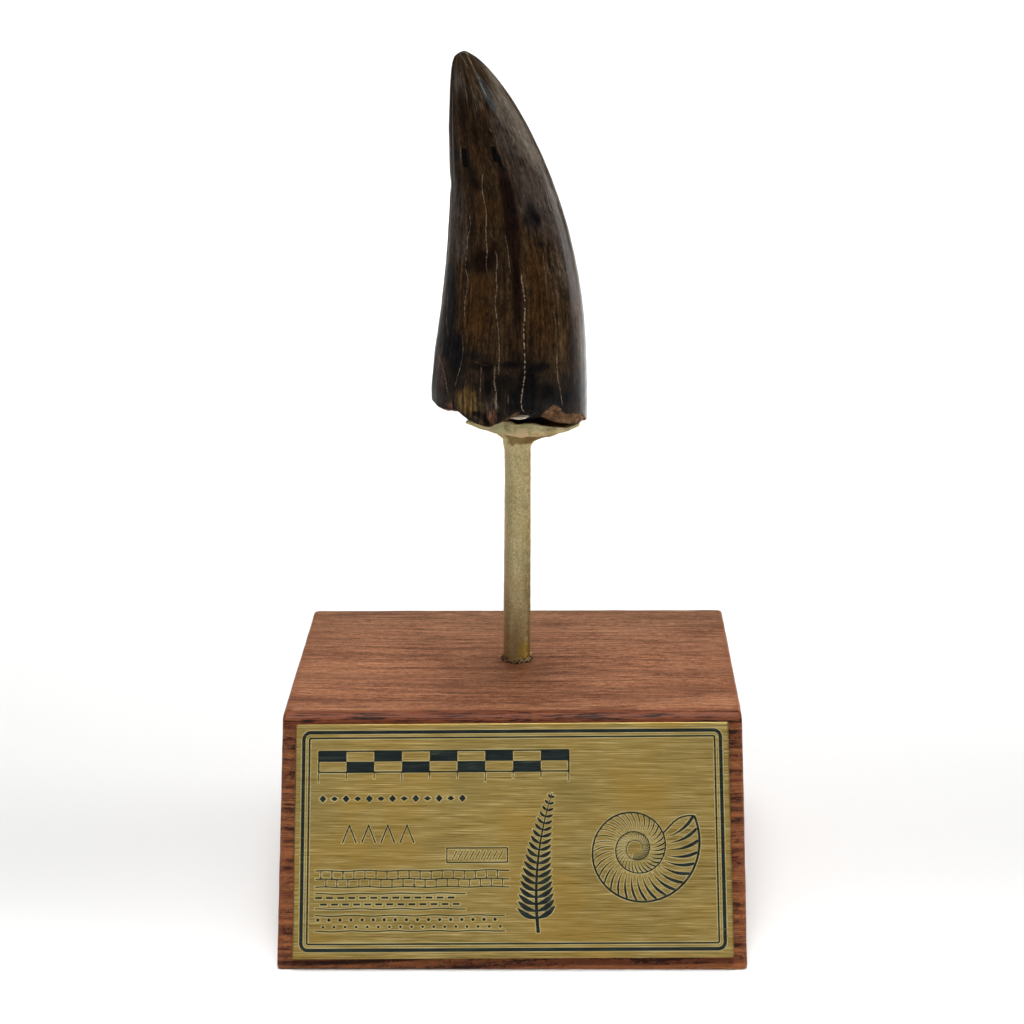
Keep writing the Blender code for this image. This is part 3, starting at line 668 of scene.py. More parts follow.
stand = {
    "postX": 0.44, "postLean": 0.87,   # where its axis leaves the block, and degrees towards +X
    "footRadius": 3.20, "topRadius": 2.92, "sink": 12.0, "topHeight": 101.9, "chamfer": 0.4,
    "handWork": 0.035,                # how far the drawn rod is out of true
    # patches on the rod: angle, height over the block, half width, half height, strength
    "postPatches": {
        "footStain": ((300, 3.4, 26, 3.4, 0.40), (318, 1.4, 30, 3.0, 0.3), (262, 0.4, 60, 3.0, 0.34),
                      (90, 2, 60, 4.0, 0.4)),
        # shade is painted shade: down the rod's right side, round its foot where it meets the block, and on
        # the foot's sides
        "shade": ((350, 26, 46, 44, 0.50), (202, 3, 30, 9, 0.34), (345, 5, 24, 8, 0.30),
                  (262, 3.4, 26, 2.4, 0.10), (270, 0.2, 200, 1.0, 0.40), (75, 5, 60, 9, 0.15)),
        # the pale patch down the rod's left side is painted light, not braze
        "brazed": ((192, 34, 38, 60, 0.5),),
        "green": ((205, 30, 36, 40, 0.45), (110, 24, 40, 30, 0.4)),
    },
    "saddleX": 2.45, "halfLength": 12.95, "halfDepth": 6.5, "pointedness": 1.25, "wall": 0.9,
    "floorHeight": 104.3, "edgeHeight": 104.2, "edgeRise": 0.8,
    # height of the rim by the angle
    "rim": (
        (0, 105.3), (30, 105.5), (60, 106.3), (90, 106.8), (120, 107.2), (150, 106.5), (180, 105.8),
        (215, 106.6), (250, 107.6), (265, 106.9), (277, 107.1), (290, 106.5), (325, 105.4), (360, 105.3)),
    "tilt": 0.4,                      # how much higher that edge is at the left end than in the middle
    "braze": (3.28, 101.9), "socketMouth": 99.6,
    "flare": 0.16, "flareSide": (195, 70),
    # lumps of braze under the dish: angle, share of the way up from the socket's mouth, widths, lift
    "lumps": (
        (345, 0.24, 22, 0.12, 0.85), (215, 0.30, 20, 0.06, 0.20), (269.5, 0.60, 5, 0.12, 0.40),
        (292, 0.24, 10, 0.06, 0.35), (60, 0.40, 30, 0.10, 0.5), (130, 0.34, 22, 0.12, 0.6)),
    "hammered": 0.07,
    # rows of points from each key ring of the dish to the next one
    "rows": (6, 3, 3, 6, 8, 12, 10, 8, 6, 6, 6, 4, 3, 3, 6, 8),
}


def postAxis(height):
    # x of the leaning post's axis
    return stand["postX"] + (height - blockHigh) * math.tan(math.radians(stand["postLean"]))


brassLook = {
    "noise": {                        # features per metre, detail, roughness
        "grain": ((3000, 3000, 3000), 2, 0.5), "draw": ((420, 420, 63), 4, 0.5),
        "cloud": ((130, 130, 130), 4, 0.6), "mottle": ((900, 900, 900), 4, 0.7),
    },
    "metal": ((0.34, "a5976b"), (0.50, "c8ba8c"), (0.66, "e2d6ac")),
    # tarnish in clouds: colour, where it starts and is full, and how much then covers
    "clouds": (("abab84", 0.55, 0.70, 0.55), ("b08e58", 0.45, 0.30, 0.40)),
    # shade is painted shade; the pale braze colour is also painted light on the rod's left side and along
    # the dish's lower front edge
    "patches": {"green": "abab84", "footStain": "dcc25c", "shade": "735522", "brazed": "e8d2aa"},
    "rim": (0.75, 0.68, 0.50, 1.0),   # tint of the reflection at a glancing angle
    "roughness": (0.58, 0.74),
}


def makeBrass(name):
    # aged brass, bead-blasted and left to tarnish: dull, finely speckled, browner in clouds of tarnish,
    # with short scratches; its brown shade patches are painted shade, and its pale braze patches are partly
    # painted light
    finish, add = startMaterial(name)
    solid = add("TexCoord", out="Object")
    noise = {key: add("TexNoise", add("VectorMath MULTIPLY", solid, size), 1, *rest)
             for key, (size, *rest) in brassLook["noise"].items()}
    mixed = weighted(add, (noise["draw"], 0.40), (noise["grain"], 0.60))
    colour = add("ValToRGB", mixed, stops=brassLook["metal"])
    for hexCode, low, high, most in brassLook["clouds"]:
        colour = add("Mix RGBA", add("MapRange", noise["cloud"], low, high, 0, most), colour, hexCode)
    for key, hexCode in brassLook["patches"].items():
        rough = add("Math ADD", noise["mottle"], add("Attribute " + key, out="Fac"))
        colour = add("Mix RGBA", add("MapRange SMOOTHSTEP", rough, 0.60, 1.10, 0, 0.76), colour, hexCode)
    scratch = add("TexVoronoi DISTANCE_TO_EDGE",
                  add("Mapping", solid, None, (0.5, 0.3, 0), (1, 1, 0.6)), 260)
    relief = add("Math ADD", noise["grain"], add("MapRange", scratch, 0, 0.03, -0.35, 0))
    return endMaterial(finish, {
        "Base Color": colour, "Metallic": 1.0, "Specular Tint": brassLook["rim"],
        "Roughness": add("MapRange", noise["cloud"], 0.3, 0.7, *brassLook["roughness"])}, relief)


def makePost():
    # a circle whose radius goes from the foot's to the top's, carried along the leaning axis with its
    # two ends chamfered, and put a little out of true by waves
    angle = np.arange(72) * 5.0
    foot, top, chamfer = blockHigh - stand["sink"], stand["topHeight"], stand["chamfer"]
    height = np.concatenate([[foot, foot + chamfer], np.linspace(foot + 1, top - 1, 130),
                             [top - chamfer, top]])
    radius = np.interp(height, (blockHigh, top), (stand["footRadius"], stand["topRadius"]))
    radius[[0, -1]] -= chamfer
    height, radius = height[:, None], radius[:, None]
    place = oval(angle, radius, radius, height)
    radius = radius + stand["handWork"] * (0.5 * waves(place * (1, 1, 0.5), 7, 31)
                                           + 0.35 * waves(place, 1.6, 32))
    radius += stand["flare"] * smoothStep(top - 10, top - 3, height) * bell(angle, *stand["flareSide"])
    grid = oval(angle, radius, radius, height, (postAxis(height), axisY))
    skin = closedSkin(grid, (postAxis(foot), axisY, foot), (postAxis(top), axisY, top))
    addPiece("brassPost", skin, makeBrass("agedBrass"), "post", 40, {
        key: softSpots(rows, angle, height - blockHigh) for key, rows in stand["postPatches"].items()})


def makeSaddle():
    # a profile from the socket up the collar of braze, out under the dish, over its wavy rim and down
    # to its floor: key rings joined by a cubic along the profile, then lumps and hammer marks
    angle = np.arange(168) * 360 / 168
    turn = np.radians(angle)
    c, s = np.cos(turn), np.sin(turn)
    edge = stand["edgeHeight"] + stand["edgeRise"] * c ** 2 - stand["tilt"] * c
    flare = stand["flare"] * bell(angle, *stand["flareSide"])
    rim = smoothRead(*zip(*stand["rim"]), angle) + 0.06 * waves(oval(angle, 12, 6, 0), 3, 41)

    def collarRing(radius, height):
        return oval(angle, radius + flare, radius + flare, height, (postAxis(height), axisY))

    def ovalRing(share, height):
        # the dish's outline: an oval whose ends are drawn to points by a power of the sine
        sway = np.sign(s) * np.abs(s) ** stand["pointedness"]
        return np.stack(np.broadcast_arrays(stand["saddleX"] + stand["halfLength"] * share * c,
                                            axisY + stand["halfDepth"] * share * sway, height), -1)

    def dishRing(share, lift):
        return ovalRing(share, edge + lift * (rim - edge))

    socket = stand["topRadius"] + 0.1
    thick = stand["wall"] / stand["halfDepth"]
    mouth, floor = stand["socketMouth"], stand["floorHeight"]
    ceiling = stand["topHeight"] + 0.3
    keyRings = np.stack([
        collarRing(socket, ceiling), collarRing(socket, mouth + 0.1),
        collarRing(socket + 0.03, mouth), collarRing(socket + 0.07, mouth + 0.3),
        collarRing(socket + 0.18, mouth + 1.3), collarRing(*stand["braze"]),
        ovalRing(0.58, 103.35 - 0.4 * c), ovalRing(0.80, edge - 0.6 - 0.18 * c),
        dishRing(0.95, -0.02), dishRing(0.995, 0.22), dishRing(1.0, 0.5), dishRing(1.0, 0.9),
        dishRing(1 - 0.3 * thick, 1.0), dishRing(1 - 0.75 * thick, 0.97), dishRing(1 - thick, 0.85),
        ovalRing(0.72, floor + 0.35), ovalRing(0.40, floor)])
    along = np.concatenate([np.linspace(step, step + 1, count, endpoint=False)
                            for step, count in enumerate(stand["rows"])] + [[len(keyRings) - 1.0]])
    grid = smoothRead(np.arange(len(keyRings)), keyRings, along)
    along = along[:, None]
    share = (along - 3) / 8                     # 0 at the socket's mouth, 1 at the rim
    lift = (softSpots(stand["lumps"], angle, share) + stand["hammered"] * waves(grid * (1, 1, 1.6), 3.2, 42)
            + 0.02 * waves(grid, 0.9, 43))
    grid += gridNormals(grid) * (lift * smoothStep(3, 4, along))[..., None]
    ragged = 0.05 * waves(oval(angle, 3, 3, 0), 1.6, 44)
    # painted shade in a ragged band under the dish's front and over the inside of the dish, and a darker
    # streak on the rim's front at 254 degrees
    shade = (1.4 * bell(share + ragged, 0.27, 0.13, 3) * bell(angle, 285, 48, 4)
             + 0.42 * bell(share, 0.88, 0.16) * bell(angle, 254, 5) + 1.5 * smoothStep(12.6, 14, along))
    values = {
        "footStain": np.zeros(grid.shape[:2]),
        # a braze blob on the dish's front, and a thin pale line along its lower front edge that is a
        # painted highlight
        "brazed": (1.2 * bell(share, 0.69, 0.20, 4) * bell(angle, 269.5, 5.4, 4)
                   + bell(share, 0.615, 0.04) * bell(angle, 276, 26, 4)),
        "shade": np.append(shade.ravel(), (0, 2)),
        "green": (0.6 * bell(share, 0.80, 0.2, 4) * bell(angle, 246, 12)
                  + 0.3 * bell(share, 0.88, 0.1) * bell(angle, 288, 20))}
    skin = closedSkin(grid, (postAxis(ceiling), axisY, ceiling), (stand["saddleX"], axisY, floor))
    addPiece("brassSaddle", skin, makeBrass("hammeredBrass"), "saddle", 60, values)


puttyLump = {
    "x": 1.6,
    # height, half length, half depth
    "rings": (
        (105.2, 4.2, 2.2), (106.6, 6.2, 3.4), (108.1, 7.4, 5.7), (109.0, 8.4, 7.0), (110.0, 9.0, 7.2),
        (113.6, 10.6, 6.9), (116.6, 8.6, 5.2), (118.6, 4.6, 2.6)),
    "foot": 104.9, "top": 119.4,
    # how far a nose of it was pressed forward, and the angle and height of that with their half widths
    "nose": 1.5, "noseAngle": (270, 18.0), "noseHeight": (108.6, 0.9),
    # x and height of the part left pale, outside the painted shade, with their half widths, and how much
    # that part bends up by its ends
    "unshadedX": (1.5, 2.5), "unshadedHeight": (108.65, 0.80), "unshadedBend": 0.06,
    # pale is the putty's own colour; the near-black after it is painted shade
    "pale": ((0.35, "b09c82"), (0.65, "e6dcc8")), "paintedShade": "0b0806",
}


def makePutty():
    # ovals of the lump's table joined by a cubic in height, with a nose where it was pressed forward
    angle = np.arange(120) * 3.0
    table = np.array(puttyLump["rings"])
    height = np.linspace(table[0, 0], table[-1, 0], 90)
    across, along = smoothRead(table[:, 0], table[:, 1:], height).T[:, :, None]
    height = height[:, None]
    grid = oval(angle, across, along, height, (puttyLump["x"], axisY))
    grid[..., 1] -= (puttyLump["nose"] * bell(angle, *puttyLump["noseAngle"])
                     * bell(height, *puttyLump["noseHeight"]))
    grid += gridNormals(grid) * (0.10 * waves(grid, 2.4, 51) + 0.04 * waves(grid, 0.9, 52))[..., None]
    skin = closedSkin(grid, *((puttyLump["x"], axisY, puttyLump[key]) for key in ("foot", "top")))
    x, z = skin[0].T[[0, 2]]
    bend = puttyLump["unshadedBend"] * (x - puttyLump["unshadedX"][0]) ** 2
    clean = bell(x, *puttyLump["unshadedX"], 4) * bell(z - bend, *puttyLump["unshadedHeight"], 4)
    # setting putty, matt and gritty: pale on the lit part of its front, and near-black painted shade over
    # the rest, in the gap
    finish, add = startMaterial("settingPutty")
    grit = add("TexNoise", add("TexCoord", out="Object"), 1200, 4)
    rough = add("Math MULTIPLY_ADD", grit, 0.3, add("Attribute clean", out="Fac"))
    colour = add("Mix RGBA", add("MapRange SMOOTHSTEP", rough, 0.45, 0.75), puttyLump["paintedShade"],
                 add("ValToRGB", grit, stops=puttyLump["pale"]))
    finish = endMaterial(finish, {"Base Color": colour, "Roughness": 0.85}, grit, 0.4, 0.0002)
    addPiece("settingPutty", skin, finish, "setting_putty", values={"clean": clean})


makePost()
makeSaddle()
makePutty()

# The wooden block

block = {
    "width": 101.6, "height": 48.0, "topDepth": 66.0,
    "lean": 30.0,                     # degrees that the front leans back
    "frontRounding": 3.0, "edgeRounding": 0.8, "cornerRounding": 0.8,
    "holeClearance": 0.3,
    "wear": 0.02, "warp": 0.01,       # unevenness of the sanded edges, and of the faces
    "acrossColumns": 84, "sideColumns": 56, "edgeRows": 10,
}


def crowded(count):
    # from -1 to 1, closest together near both ends by a sine
    t = np.arange(count) / count
    return 2 * (t - 0.93 * np.sin(2 * math.pi * t) / (2 * math.pi)) - 1


def blockGrid():
    # a square's edge points stretched to the block's outline at each height: rings from the middle of
    # the underside out and up the walls, over the rounded edges, in across the top and down the hole
    across, side = crowded(block["acrossColumns"]), crowded(block["sideColumns"])
    a = np.concatenate([np.ones_like(side), -across, -np.ones_like(side), across])
    b = np.concatenate([side, np.ones_like(across), -side, -np.ones_like(across)])
    half, high = block["width"] / 2, block["height"]
    lean = math.radians(block["lean"])
    back = (block["topDepth"] + high * math.tan(lean)) / 2
    frontTop = back - block["topDepth"]
    edge, corner, fillet = block["edgeRounding"], block["cornerRounding"], block["frontRounding"]
    nearFront = smoothStep(3.0, 0.4, (b + 1) / 2 * block["topDepth"])

    def ring(height, inset, front):
        # outline shrunk by the inset, its front at a given place and its corners rounded
        x, y = a * (half - inset), front + (b + 1) / 2 * (back - inset - front)
        middle = (back - inset + front) / 2
        reachX, reachY = half - inset - corner, (back - inset - front) / 2 - corner
        coreX, coreY = np.clip(x, -reachX, reachX), np.clip(y - middle, -reachY, reachY) + middle
        scale = corner / np.maximum(np.hypot(x - coreX, y - coreY), 1e-6)
        return np.stack([coreX + (x - coreX) * scale, coreY + (y - coreY) * scale,
                         np.broadcast_to(height, x.shape)], -1)

    bottom, rounded = [], []
    for turn in np.linspace(math.pi / 2, 0, 6):
        low, inset = edge * (1 - math.sin(turn)), edge * (1 - math.cos(turn))
        bottom.append(ring(low, inset, -back + low * math.tan(lean) + inset))
    for t in np.linspace(0, 1, block["edgeRows"]):
        turn = t * math.pi / 2
        arc = math.pi - lean - (math.pi / 2 - lean) * t
        front = frontTop + fillet * (math.tan((math.pi / 2 - lean) / 2) + math.cos(arc))
        height = (nearFront * (high - fillet * (1 - math.sin(arc)))
                  + (1 - nearFront) * (high - edge * (1 - math.sin(turn))))
        rounded.append(ring(height, edge * (1 - math.cos(turn)), front))
    wall = [bottom[-1] * (1 - t) + rounded[0] * t for t in np.linspace(0, 1, 42)[1:-1]]
    base = [bottom[0] * t for t in (0.05, 0.35, 0.7, 0.9)]
    lip = rounded[-1]
    angle = np.degrees(np.arctan2(lip[:, 1] - axisY, lip[:, 0] - stand["postX"]))

    def hole(height, out=0.0):
        radius = stand["footRadius"] + block["holeClearance"] + out
        return oval(angle, radius, radius, height, (postAxis(height), axisY))

    top = [lip * (1 - t) + hole(high, 0.15) * t for t in np.linspace(0, 1, 34)[1:]]
    depth = high - stand["sink"] - 0.3
    well = [hole(height) for height in np.linspace(high - 0.15, depth, 8)]
    grid = np.stack(base + bottom + wall + rounded + top + well)
    onEdge, onWall = np.zeros((2, *grid.shape[:2]))
    foot = len(base)
    start = foot + len(bottom) + len(wall)
    end = start + len(rounded)
    onEdge[start:end] = 1
    frontEdge = onEdge * nearFront
    onWall[foot - 1:start + 1] = 1
    nearCorner = smoothStep(1.6, 0.6, (1 - abs(a)) * half) * smoothStep(1.6, 0.6, (1 - abs(b)) * 33)
    onEdge[foot:end] = np.maximum(onEdge[foot:end], nearCorner)
    wear = block["wear"] * onEdge * waves(grid, 6, 61) + block["warp"] * waves(grid, 40, 62)
    worn = slice(foot, end + 2)
    grid[worn] += gridNormals(grid)[worn] * wear[worn][..., None]
    grid[..., 2] = np.maximum(grid[..., 2], 0)
    return (closedSkin(grid, (0, 0, 0), (postAxis(depth), axisY, depth)),
            {"onEdge": onEdge, "frontEdge": frontEdge, "onWall": onWall})


woodLook = {
    "tones": ((0.08, "5e3422"), (0.30, "7c4c34"), (0.50, "946144"), (0.72, "a97454"), (0.95, "bd8663")),
    "bands": "5f3423", "lines": "3f2115", "pores": "3a1c11",
    # front and back: painted light and shade, the block lighter towards the front and darker and greyer
    # towards the back
    "front": (1.16, 1.17, 1.14, 1.0), "back": (0.76, 0.90, 0.93, 1.0),
    "wall": ("5e2b18", "a5653a"), "wallBands": "2c120a",
    # wear: where, the noise's limits, the least and the most covered, colour
    "worn": (("onEdge", 0.4, 0.6, 0.1, 0.5, "8a5136"), ("frontEdge", 0.30, 0.55, 0.55, 0.95, "7e3f21"),
             ("frontEdge", 0.51, 0.585, 0.0, 0.92, "1e0e08")),
    "tilt": (0.35, 0.018, 0.022),     # of the log in the block, in radians
    "heart": (0, 30, 85),             # mm from the block's middle to the log's, backwards and down
    "growth": {"rings": (5.0, 0.65), "wide": (1.7, 0.6)},     # mm between growth rings, roughness
    # features per mm along x and across it, detail, roughness
    "grain": {"fine": (0.07, 1.5, 5, 0.75), "flecks": (0.55, 1.8, 3, 0.7), "thin": (0.010, 0.30, 3, 0.55),
              "pores": (1 / 5, 1 / 0.416, 1, 0.5), "streaks": (0.11, 2.0, 4, 0.65)},
    "solid": {"grit": (2.2, 2.2, 2, 0.5), "blotch": (0.03, 0.06, 3, 0.5)},
    "roughness": (0.42, 0.58),
}


def makeWood():
    # mahogany, planed, sanded and oiled: fine straight grain along the block with darker bands and thin
    # dark lines, short pores cut lengthwise on the faces and seen end-on at the sides; a soft satin shine
    look = woodLook
    finish, add = startMaterial("oiledMahogany")
    turned = add("Mapping", add("TexCoord", out="Object"), None, look["tilt"], (1000, 1000, 1000))
    sway = add("TexNoise", add("VectorMath MULTIPLY", turned, (0.012, 0.05, 0.05)), 1, 2, out="Color")
    swayed = add("VectorMath MULTIPLY_ADD", sway, (0, 7, 7), turned)
    noise = {}
    for place, table in ((swayed, look["grain"]), (turned, look["solid"])):
        for key, (along, across, *rest) in table.items():
            scaled = add("VectorMath MULTIPLY", place, (along, across, across))
            noise[key] = add("TexNoise", scaled, 1, *rest)
    away = add("VectorMath MULTIPLY", add("VectorMath ADD", swayed, look["heart"]), (0, 1, 1))
    radius = add("VectorMath LENGTH", away)
    for key, (spacing, roughness) in look["growth"].items():
        noise[key] = add("TexNoise 1D", add("Math DIVIDE", radius, spacing), 1, 3, roughness)
    base = weighted(add, (noise["blotch"], 0.10), (noise["grit"], 0.12), (noise["rings"], 0.14),
                    (noise["flecks"], 0.26), (noise["fine"], 0.38))
    colour = add("ValToRGB", add("MapRange", base, 0.39, 0.61), stops=look["tones"])
    thin = add("Math ABSOLUTE", add("Math SUBTRACT", noise["thin"], 0.5))
    lines = add("Math MULTIPLY", add("MapRange SMOOTHSTEP", thin, 0.006, 0.05, 1, 0),
                add("MapRange SMOOTHSTEP", noise["flecks"], 0.42, 0.58, 0, 0.7))
    pores = add("MapRange SMOOTHSTEP", noise["pores"], 0.62, 0.74)
    bands = add("MapRange SMOOTHSTEP", noise["rings"], 0.60, 0.72, 0, 0.45)
    for key, share in (("bands", bands), ("lines", lines), ("pores", add("Math MULTIPLY", pores, 0.5))):
        colour = add("Mix RGBA", share, colour, look[key])
    depth = add("SeparateXYZ", turned, out="Y")
    # painted light and shade: lighter towards the front, darker and greyer towards the back
    light = add("Mix RGBA", add("MapRange SMOOTHSTEP", depth, -14, 46), look["front"], look["back"])
    colour = add("Mix RGBA", 1.0, colour, light, blend_type="MULTIPLY")
    onWall = add("Attribute onWall", out="Fac")
    tint = add("Mix RGBA", add("MapRange SMOOTHSTEP", noise["wide"], 0.30, 0.70), *look["wall"])
    colour = add("Mix RGBA", add("Math MULTIPLY", onWall, 0.80), colour, tint)
    banded = onWall                             # the walls' dark bands, which fade towards the back
    for value, *limits in ((base, 0.488, 0.535, 0, 0.97), (noise["wide"], 0.62, 0.38, 0.55, 1),
                           (depth, -22, 30, 1, 0.58)):
        banded = add("Math MULTIPLY", banded, add("MapRange SMOOTHSTEP", value, *limits))
    colour = add("Mix RGBA", banded, colour, look["wallBands"])
    for where, low, high, least, most, hexCode in look["worn"]:
        share = add("Math MULTIPLY", add("Attribute " + where, out="Fac"),
                    add("MapRange SMOOTHSTEP", noise["streaks"], low, high, least, most))
        colour = add("Mix RGBA", share, colour, hexCode)
    relief = weighted(add, (noise["fine"], 1.0), (lines, -0.8), (pores, -0.8))
    return endMaterial(finish, {
        "Base Color": colour, "IOR": 1.5, "Specular IOR Level": 0.16,
        "Roughness": add("MapRange SMOOTHSTEP", noise["fine"], 0.3, 0.7, *look["roughness"])}, relief)


def makeBlock():
    skin, values = blockGrid()
    addPiece("woodenBlock", skin, makeWood(), "base_block", 50, values)


splinters = {
    "ring": 0.11,                     # half width of the ragged dark ring round the post
    # start round the post, reach round it, start and end off its surface, rise, width, curl (mm, degrees)
    "curls": (
        (214, 20, 0.0, 0.5, 0.45, 0.26, 0.5), (232, 26, 0.0, 0.4, 0.95, 0.34, 0.9),
        (247, 34, 0.3, 0.1, 1.30, 0.36, 1.2), (256, 20, 0.2, 0.5, 0.60, 0.40, 0.6),
        (266, 26, 0.0, 0.6, 1.45, 0.36, 1.0), (279, 16, 0.5, 0.1, 0.95, 0.34, 0.8),
        (286, -16, 0.1, 0.6, 1.60, 0.34, 1.0), (293, 22, 0.2, 0.8, 0.80, 0.40, 0.7),
        (303, 18, 0.1, 0.5, 1.20, 0.30, 0.7), (318, 18, 0.1, 0.4, 0.60, 0.28, 0.4),
        (20, 24, 0.1, 0.6, 0.60, 0.30, 0.6), (75, -22, 0.0, 0.6, 0.90, 0.32, 0.8),
        (118, 26, 0.2, 0.5, 0.70, 0.34, 0.7), (165, 20, 0.1, 0.6, 0.50, 0.30, 0.5)),
    # the ring's dark colour is painted shade
    "paintedRingShade": ((0.4, "24150c"), (0.6, "4a3220")), "dry": ((0.35, "b09468"), (0.65, "f0dcb0")),
}


def makeSplinters():
    # the hole's torn edge: a thin uneven ring of painted shade round the post, and fibres curled up from
    # it, each a
    # tapered rod of five sides along an arc round the post that rises and curls over as a sine
    middle = (stand["postX"], axisY)
    foot = stand["footRadius"] + 0.12
    side, t = np.radians(np.arange(5) * 72.0), np.linspace(0, 1, 16)
    bow = np.sin(math.pi * t)
    rods = []
    for start, reach, near, out, rise, width, curl in splinters["curls"]:
        away = foot + 0.1 + near + (out - near) * t + 0.35 * curl * bow ** 2
        path = oval(start + reach * t + 6 * curl * bow, away, away,
                    blockHigh + rise * np.sin(math.pi * np.clip(t * 0.8 + 0.05, 0, 1)), middle)
        ahead = np.gradient(path, axis=0)
        ahead /= np.linalg.norm(ahead, axis=1)[:, None]
        across = np.cross(ahead, (0, 0, 1.0))
        across /= np.linalg.norm(across, axis=1)[:, None]
        above = np.cross(across, ahead)
        half = (width / 2 * np.clip(1.15 - t, 0.12, 1))[:, None, None]
        rods.append(path[:, None] + half * (across[:, None] * np.cos(side)[:, None]
                                            + 0.6 * above[:, None] * np.sin(side)[:, None]))
    verts, faces = closedTubes(rods)
    angle = np.arange(180) * 2.0
    circle = oval(angle, 4, 4, 0)
    wide = splinters["ring"] * np.clip(1.1 + 0.7 * waves(circle, 1.5, 81) + 0.5 * waves(circle, 0.5, 82),
                                       0.2, 3)
    around = np.linspace(0, 2 * math.pi, 8, endpoint=False)[:, None]
    radius = foot + wide * (1 + np.cos(around))
    ring = oval(angle, radius, radius, blockHigh + 0.02 + 0.8 * wide * np.sin(around), middle)
    number = len(verts) + np.arange(ring[..., 0].size).reshape(ring.shape[:2])
    faces += gridFaces(np.concatenate([number, number[:1]])[::-1])
    # bare torn mahogany, pale and dry in the fibres; the ring's dark brown is painted shade in the gap
    # round the post
    finish, add = startMaterial("tornMahogany")
    grit = add("TexNoise", add("TexCoord", out="Object"), 1800, 4)
    colour = add("Mix RGBA", add("Attribute pale", out="Fac"), *(
        add("ValToRGB", grit, stops=splinters[key]) for key in ("paintedRingShade", "dry")))
    finish = endMaterial(finish, {"Base Color": colour, "Roughness": 0.8, "IOR": 1.5})
    addPiece("splinters", (np.concatenate([verts, ring.reshape(-1, 3)]), faces), finish,
             sharp=60, values={"pale": np.ones(len(verts))})


makeBlock()
makeSplinters()

# The plate on the leaning front

plate = {
    "width": 95.25, "height": 50.8, "thickness": 1.2, "bevel": 0.25, "cornerRadius": 0.35,
    "drop": 2.1, "offset": 0.14, "gap": 0.3,
    "turn": 0.3,                      # degrees out of square, as it was stuck on
    "lift": 0.02,                     # how far the filled lines stand over the brass
    "halo": 0.22,                     # pale edge left on each side of a line by the engraving
    "line": 0.30, "thin": 0.20,
    # distance of a border line's middle from the plate's edge, its width, its corner radius
    "borders": ((1.85, 0.75, 1.5), (3.12, 0.36, 0.35)),
    # bands of limestone courses, shale dashes and sandstone dots: top, right end, heights of the long
    # lines, then each sign's start, end and width
    "rocks": ((32.0, 47.0, (0, 1.8, 3.5), ((1.2, 0.1, 1.2, 1.75, 0.20), (2.3, 1.85, 2.3, 3.4, 0.20))),
              (36.9, 37.5, (0, 3.3), ((0, 0.9, 1.5, 0.9, 0.42), (1.1, 2.3, 2.6, 2.3, 0.42))),
              (41.6, 46.0, (0, 3.3), ((0.3, 0.9, 1.05, 0.9, 0.75), (1.5, 2.4, 2.1, 2.4, 0.6)))),
    "shell": (74.5, 27.5, 14.6),      # middle and radius of the coiled shell
    "shellShrink": 0.122,             # of its radius, as a share for each radian
    "fern": ((53.2, 45.4), (51.6, 30.0), (56.4, 15.4)),
}


def platePoint(place, out):
    # place is right and down from the front's upper left corner, and out along the plate's normal
    lean, turn = math.radians(block["lean"]), math.radians(plate["turn"])
    down = np.array((0, math.sin(lean), math.cos(lean)))
    right = np.array((math.cos(turn), *(math.sin(turn) * down[1:])))
    up = np.array((-math.sin(turn), *(math.cos(turn) * down[1:])))
    normal = np.array((0, -math.cos(lean), math.sin(lean)))
    frontTop = (block["height"] * math.tan(lean) - block["topDepth"]) / 2
    middle = (np.array((plate["offset"], frontTop, block["height"]))
              - down * (plate["drop"] + plate["height"] / 2) + normal * (plate["gap"] + plate["thickness"]))
    u, v = np.moveaxis(np.asarray(place) - (plate["width"] / 2, plate["height"] / 2), -1, 0)[..., None]
    return middle + u * right - v * up + out * normal


def roundedRectangle(inset, radius):
    # corner arcs joined by straight sides, going round from the upper right corner
    turn = np.radians(np.concatenate([np.linspace(a, a + 90, 10) for a in (-90, 0, 90, 180)]))
    side = np.repeat(((1, -1), (1, 1), (-1, 1), (-1, -1)), 10, 0)
    half = np.array((plate["width"], plate["height"])) / 2
    return half + side * (half - inset - radius) + radius * np.stack([np.cos(turn), np.sin(turn)], -1)


brushedLook = {
    "brass": ((0.30, "695525"), (0.44, "988149"), (0.56, "b59c5c"), (0.70, "dcc88d")),
    "clouds": (("b48d39", 0.5, 0.75), ("8b814f", 0.5, 0.25)),       # warm and cool, and their limits
    "roughness": (0.36, 0.52),
}


def makeBrushedBrass():
    # sheet brass, brushed lengthwise and lacquered: long fine streaks light and dark, a satin glow
    finish, add = startMaterial("brushedBrass")
    solid = add("TexCoord", out="Object")
    brush = add("TexNoise", add("VectorMath MULTIPLY", solid, (120, 4200, 4200)), 1, 3, 0.6)
    bands = add("TexNoise", add("VectorMath MULTIPLY", solid, (45, 2500, 2500)), 1, 3)
    cloud = add("TexNoise", solid, 60, 3, 0.6)
    colour = add("ValToRGB", weighted(add, (bands, 0.24), (brush, 0.76)), stops=brushedLook["brass"])
    for hexCode, low, high in brushedLook["clouds"]:
        colour = add("Mix RGBA", add("MapRange", cloud, low, high, 0, 0.5), colour, hexCode)
    return endMaterial(finish, {
        "Base Color": colour, "Metallic": 1.0,
        "Roughness": add("MapRange", brush, 0.3, 0.7, *brushedLook["roughness"])}, brush, 0.25, 0.00005)


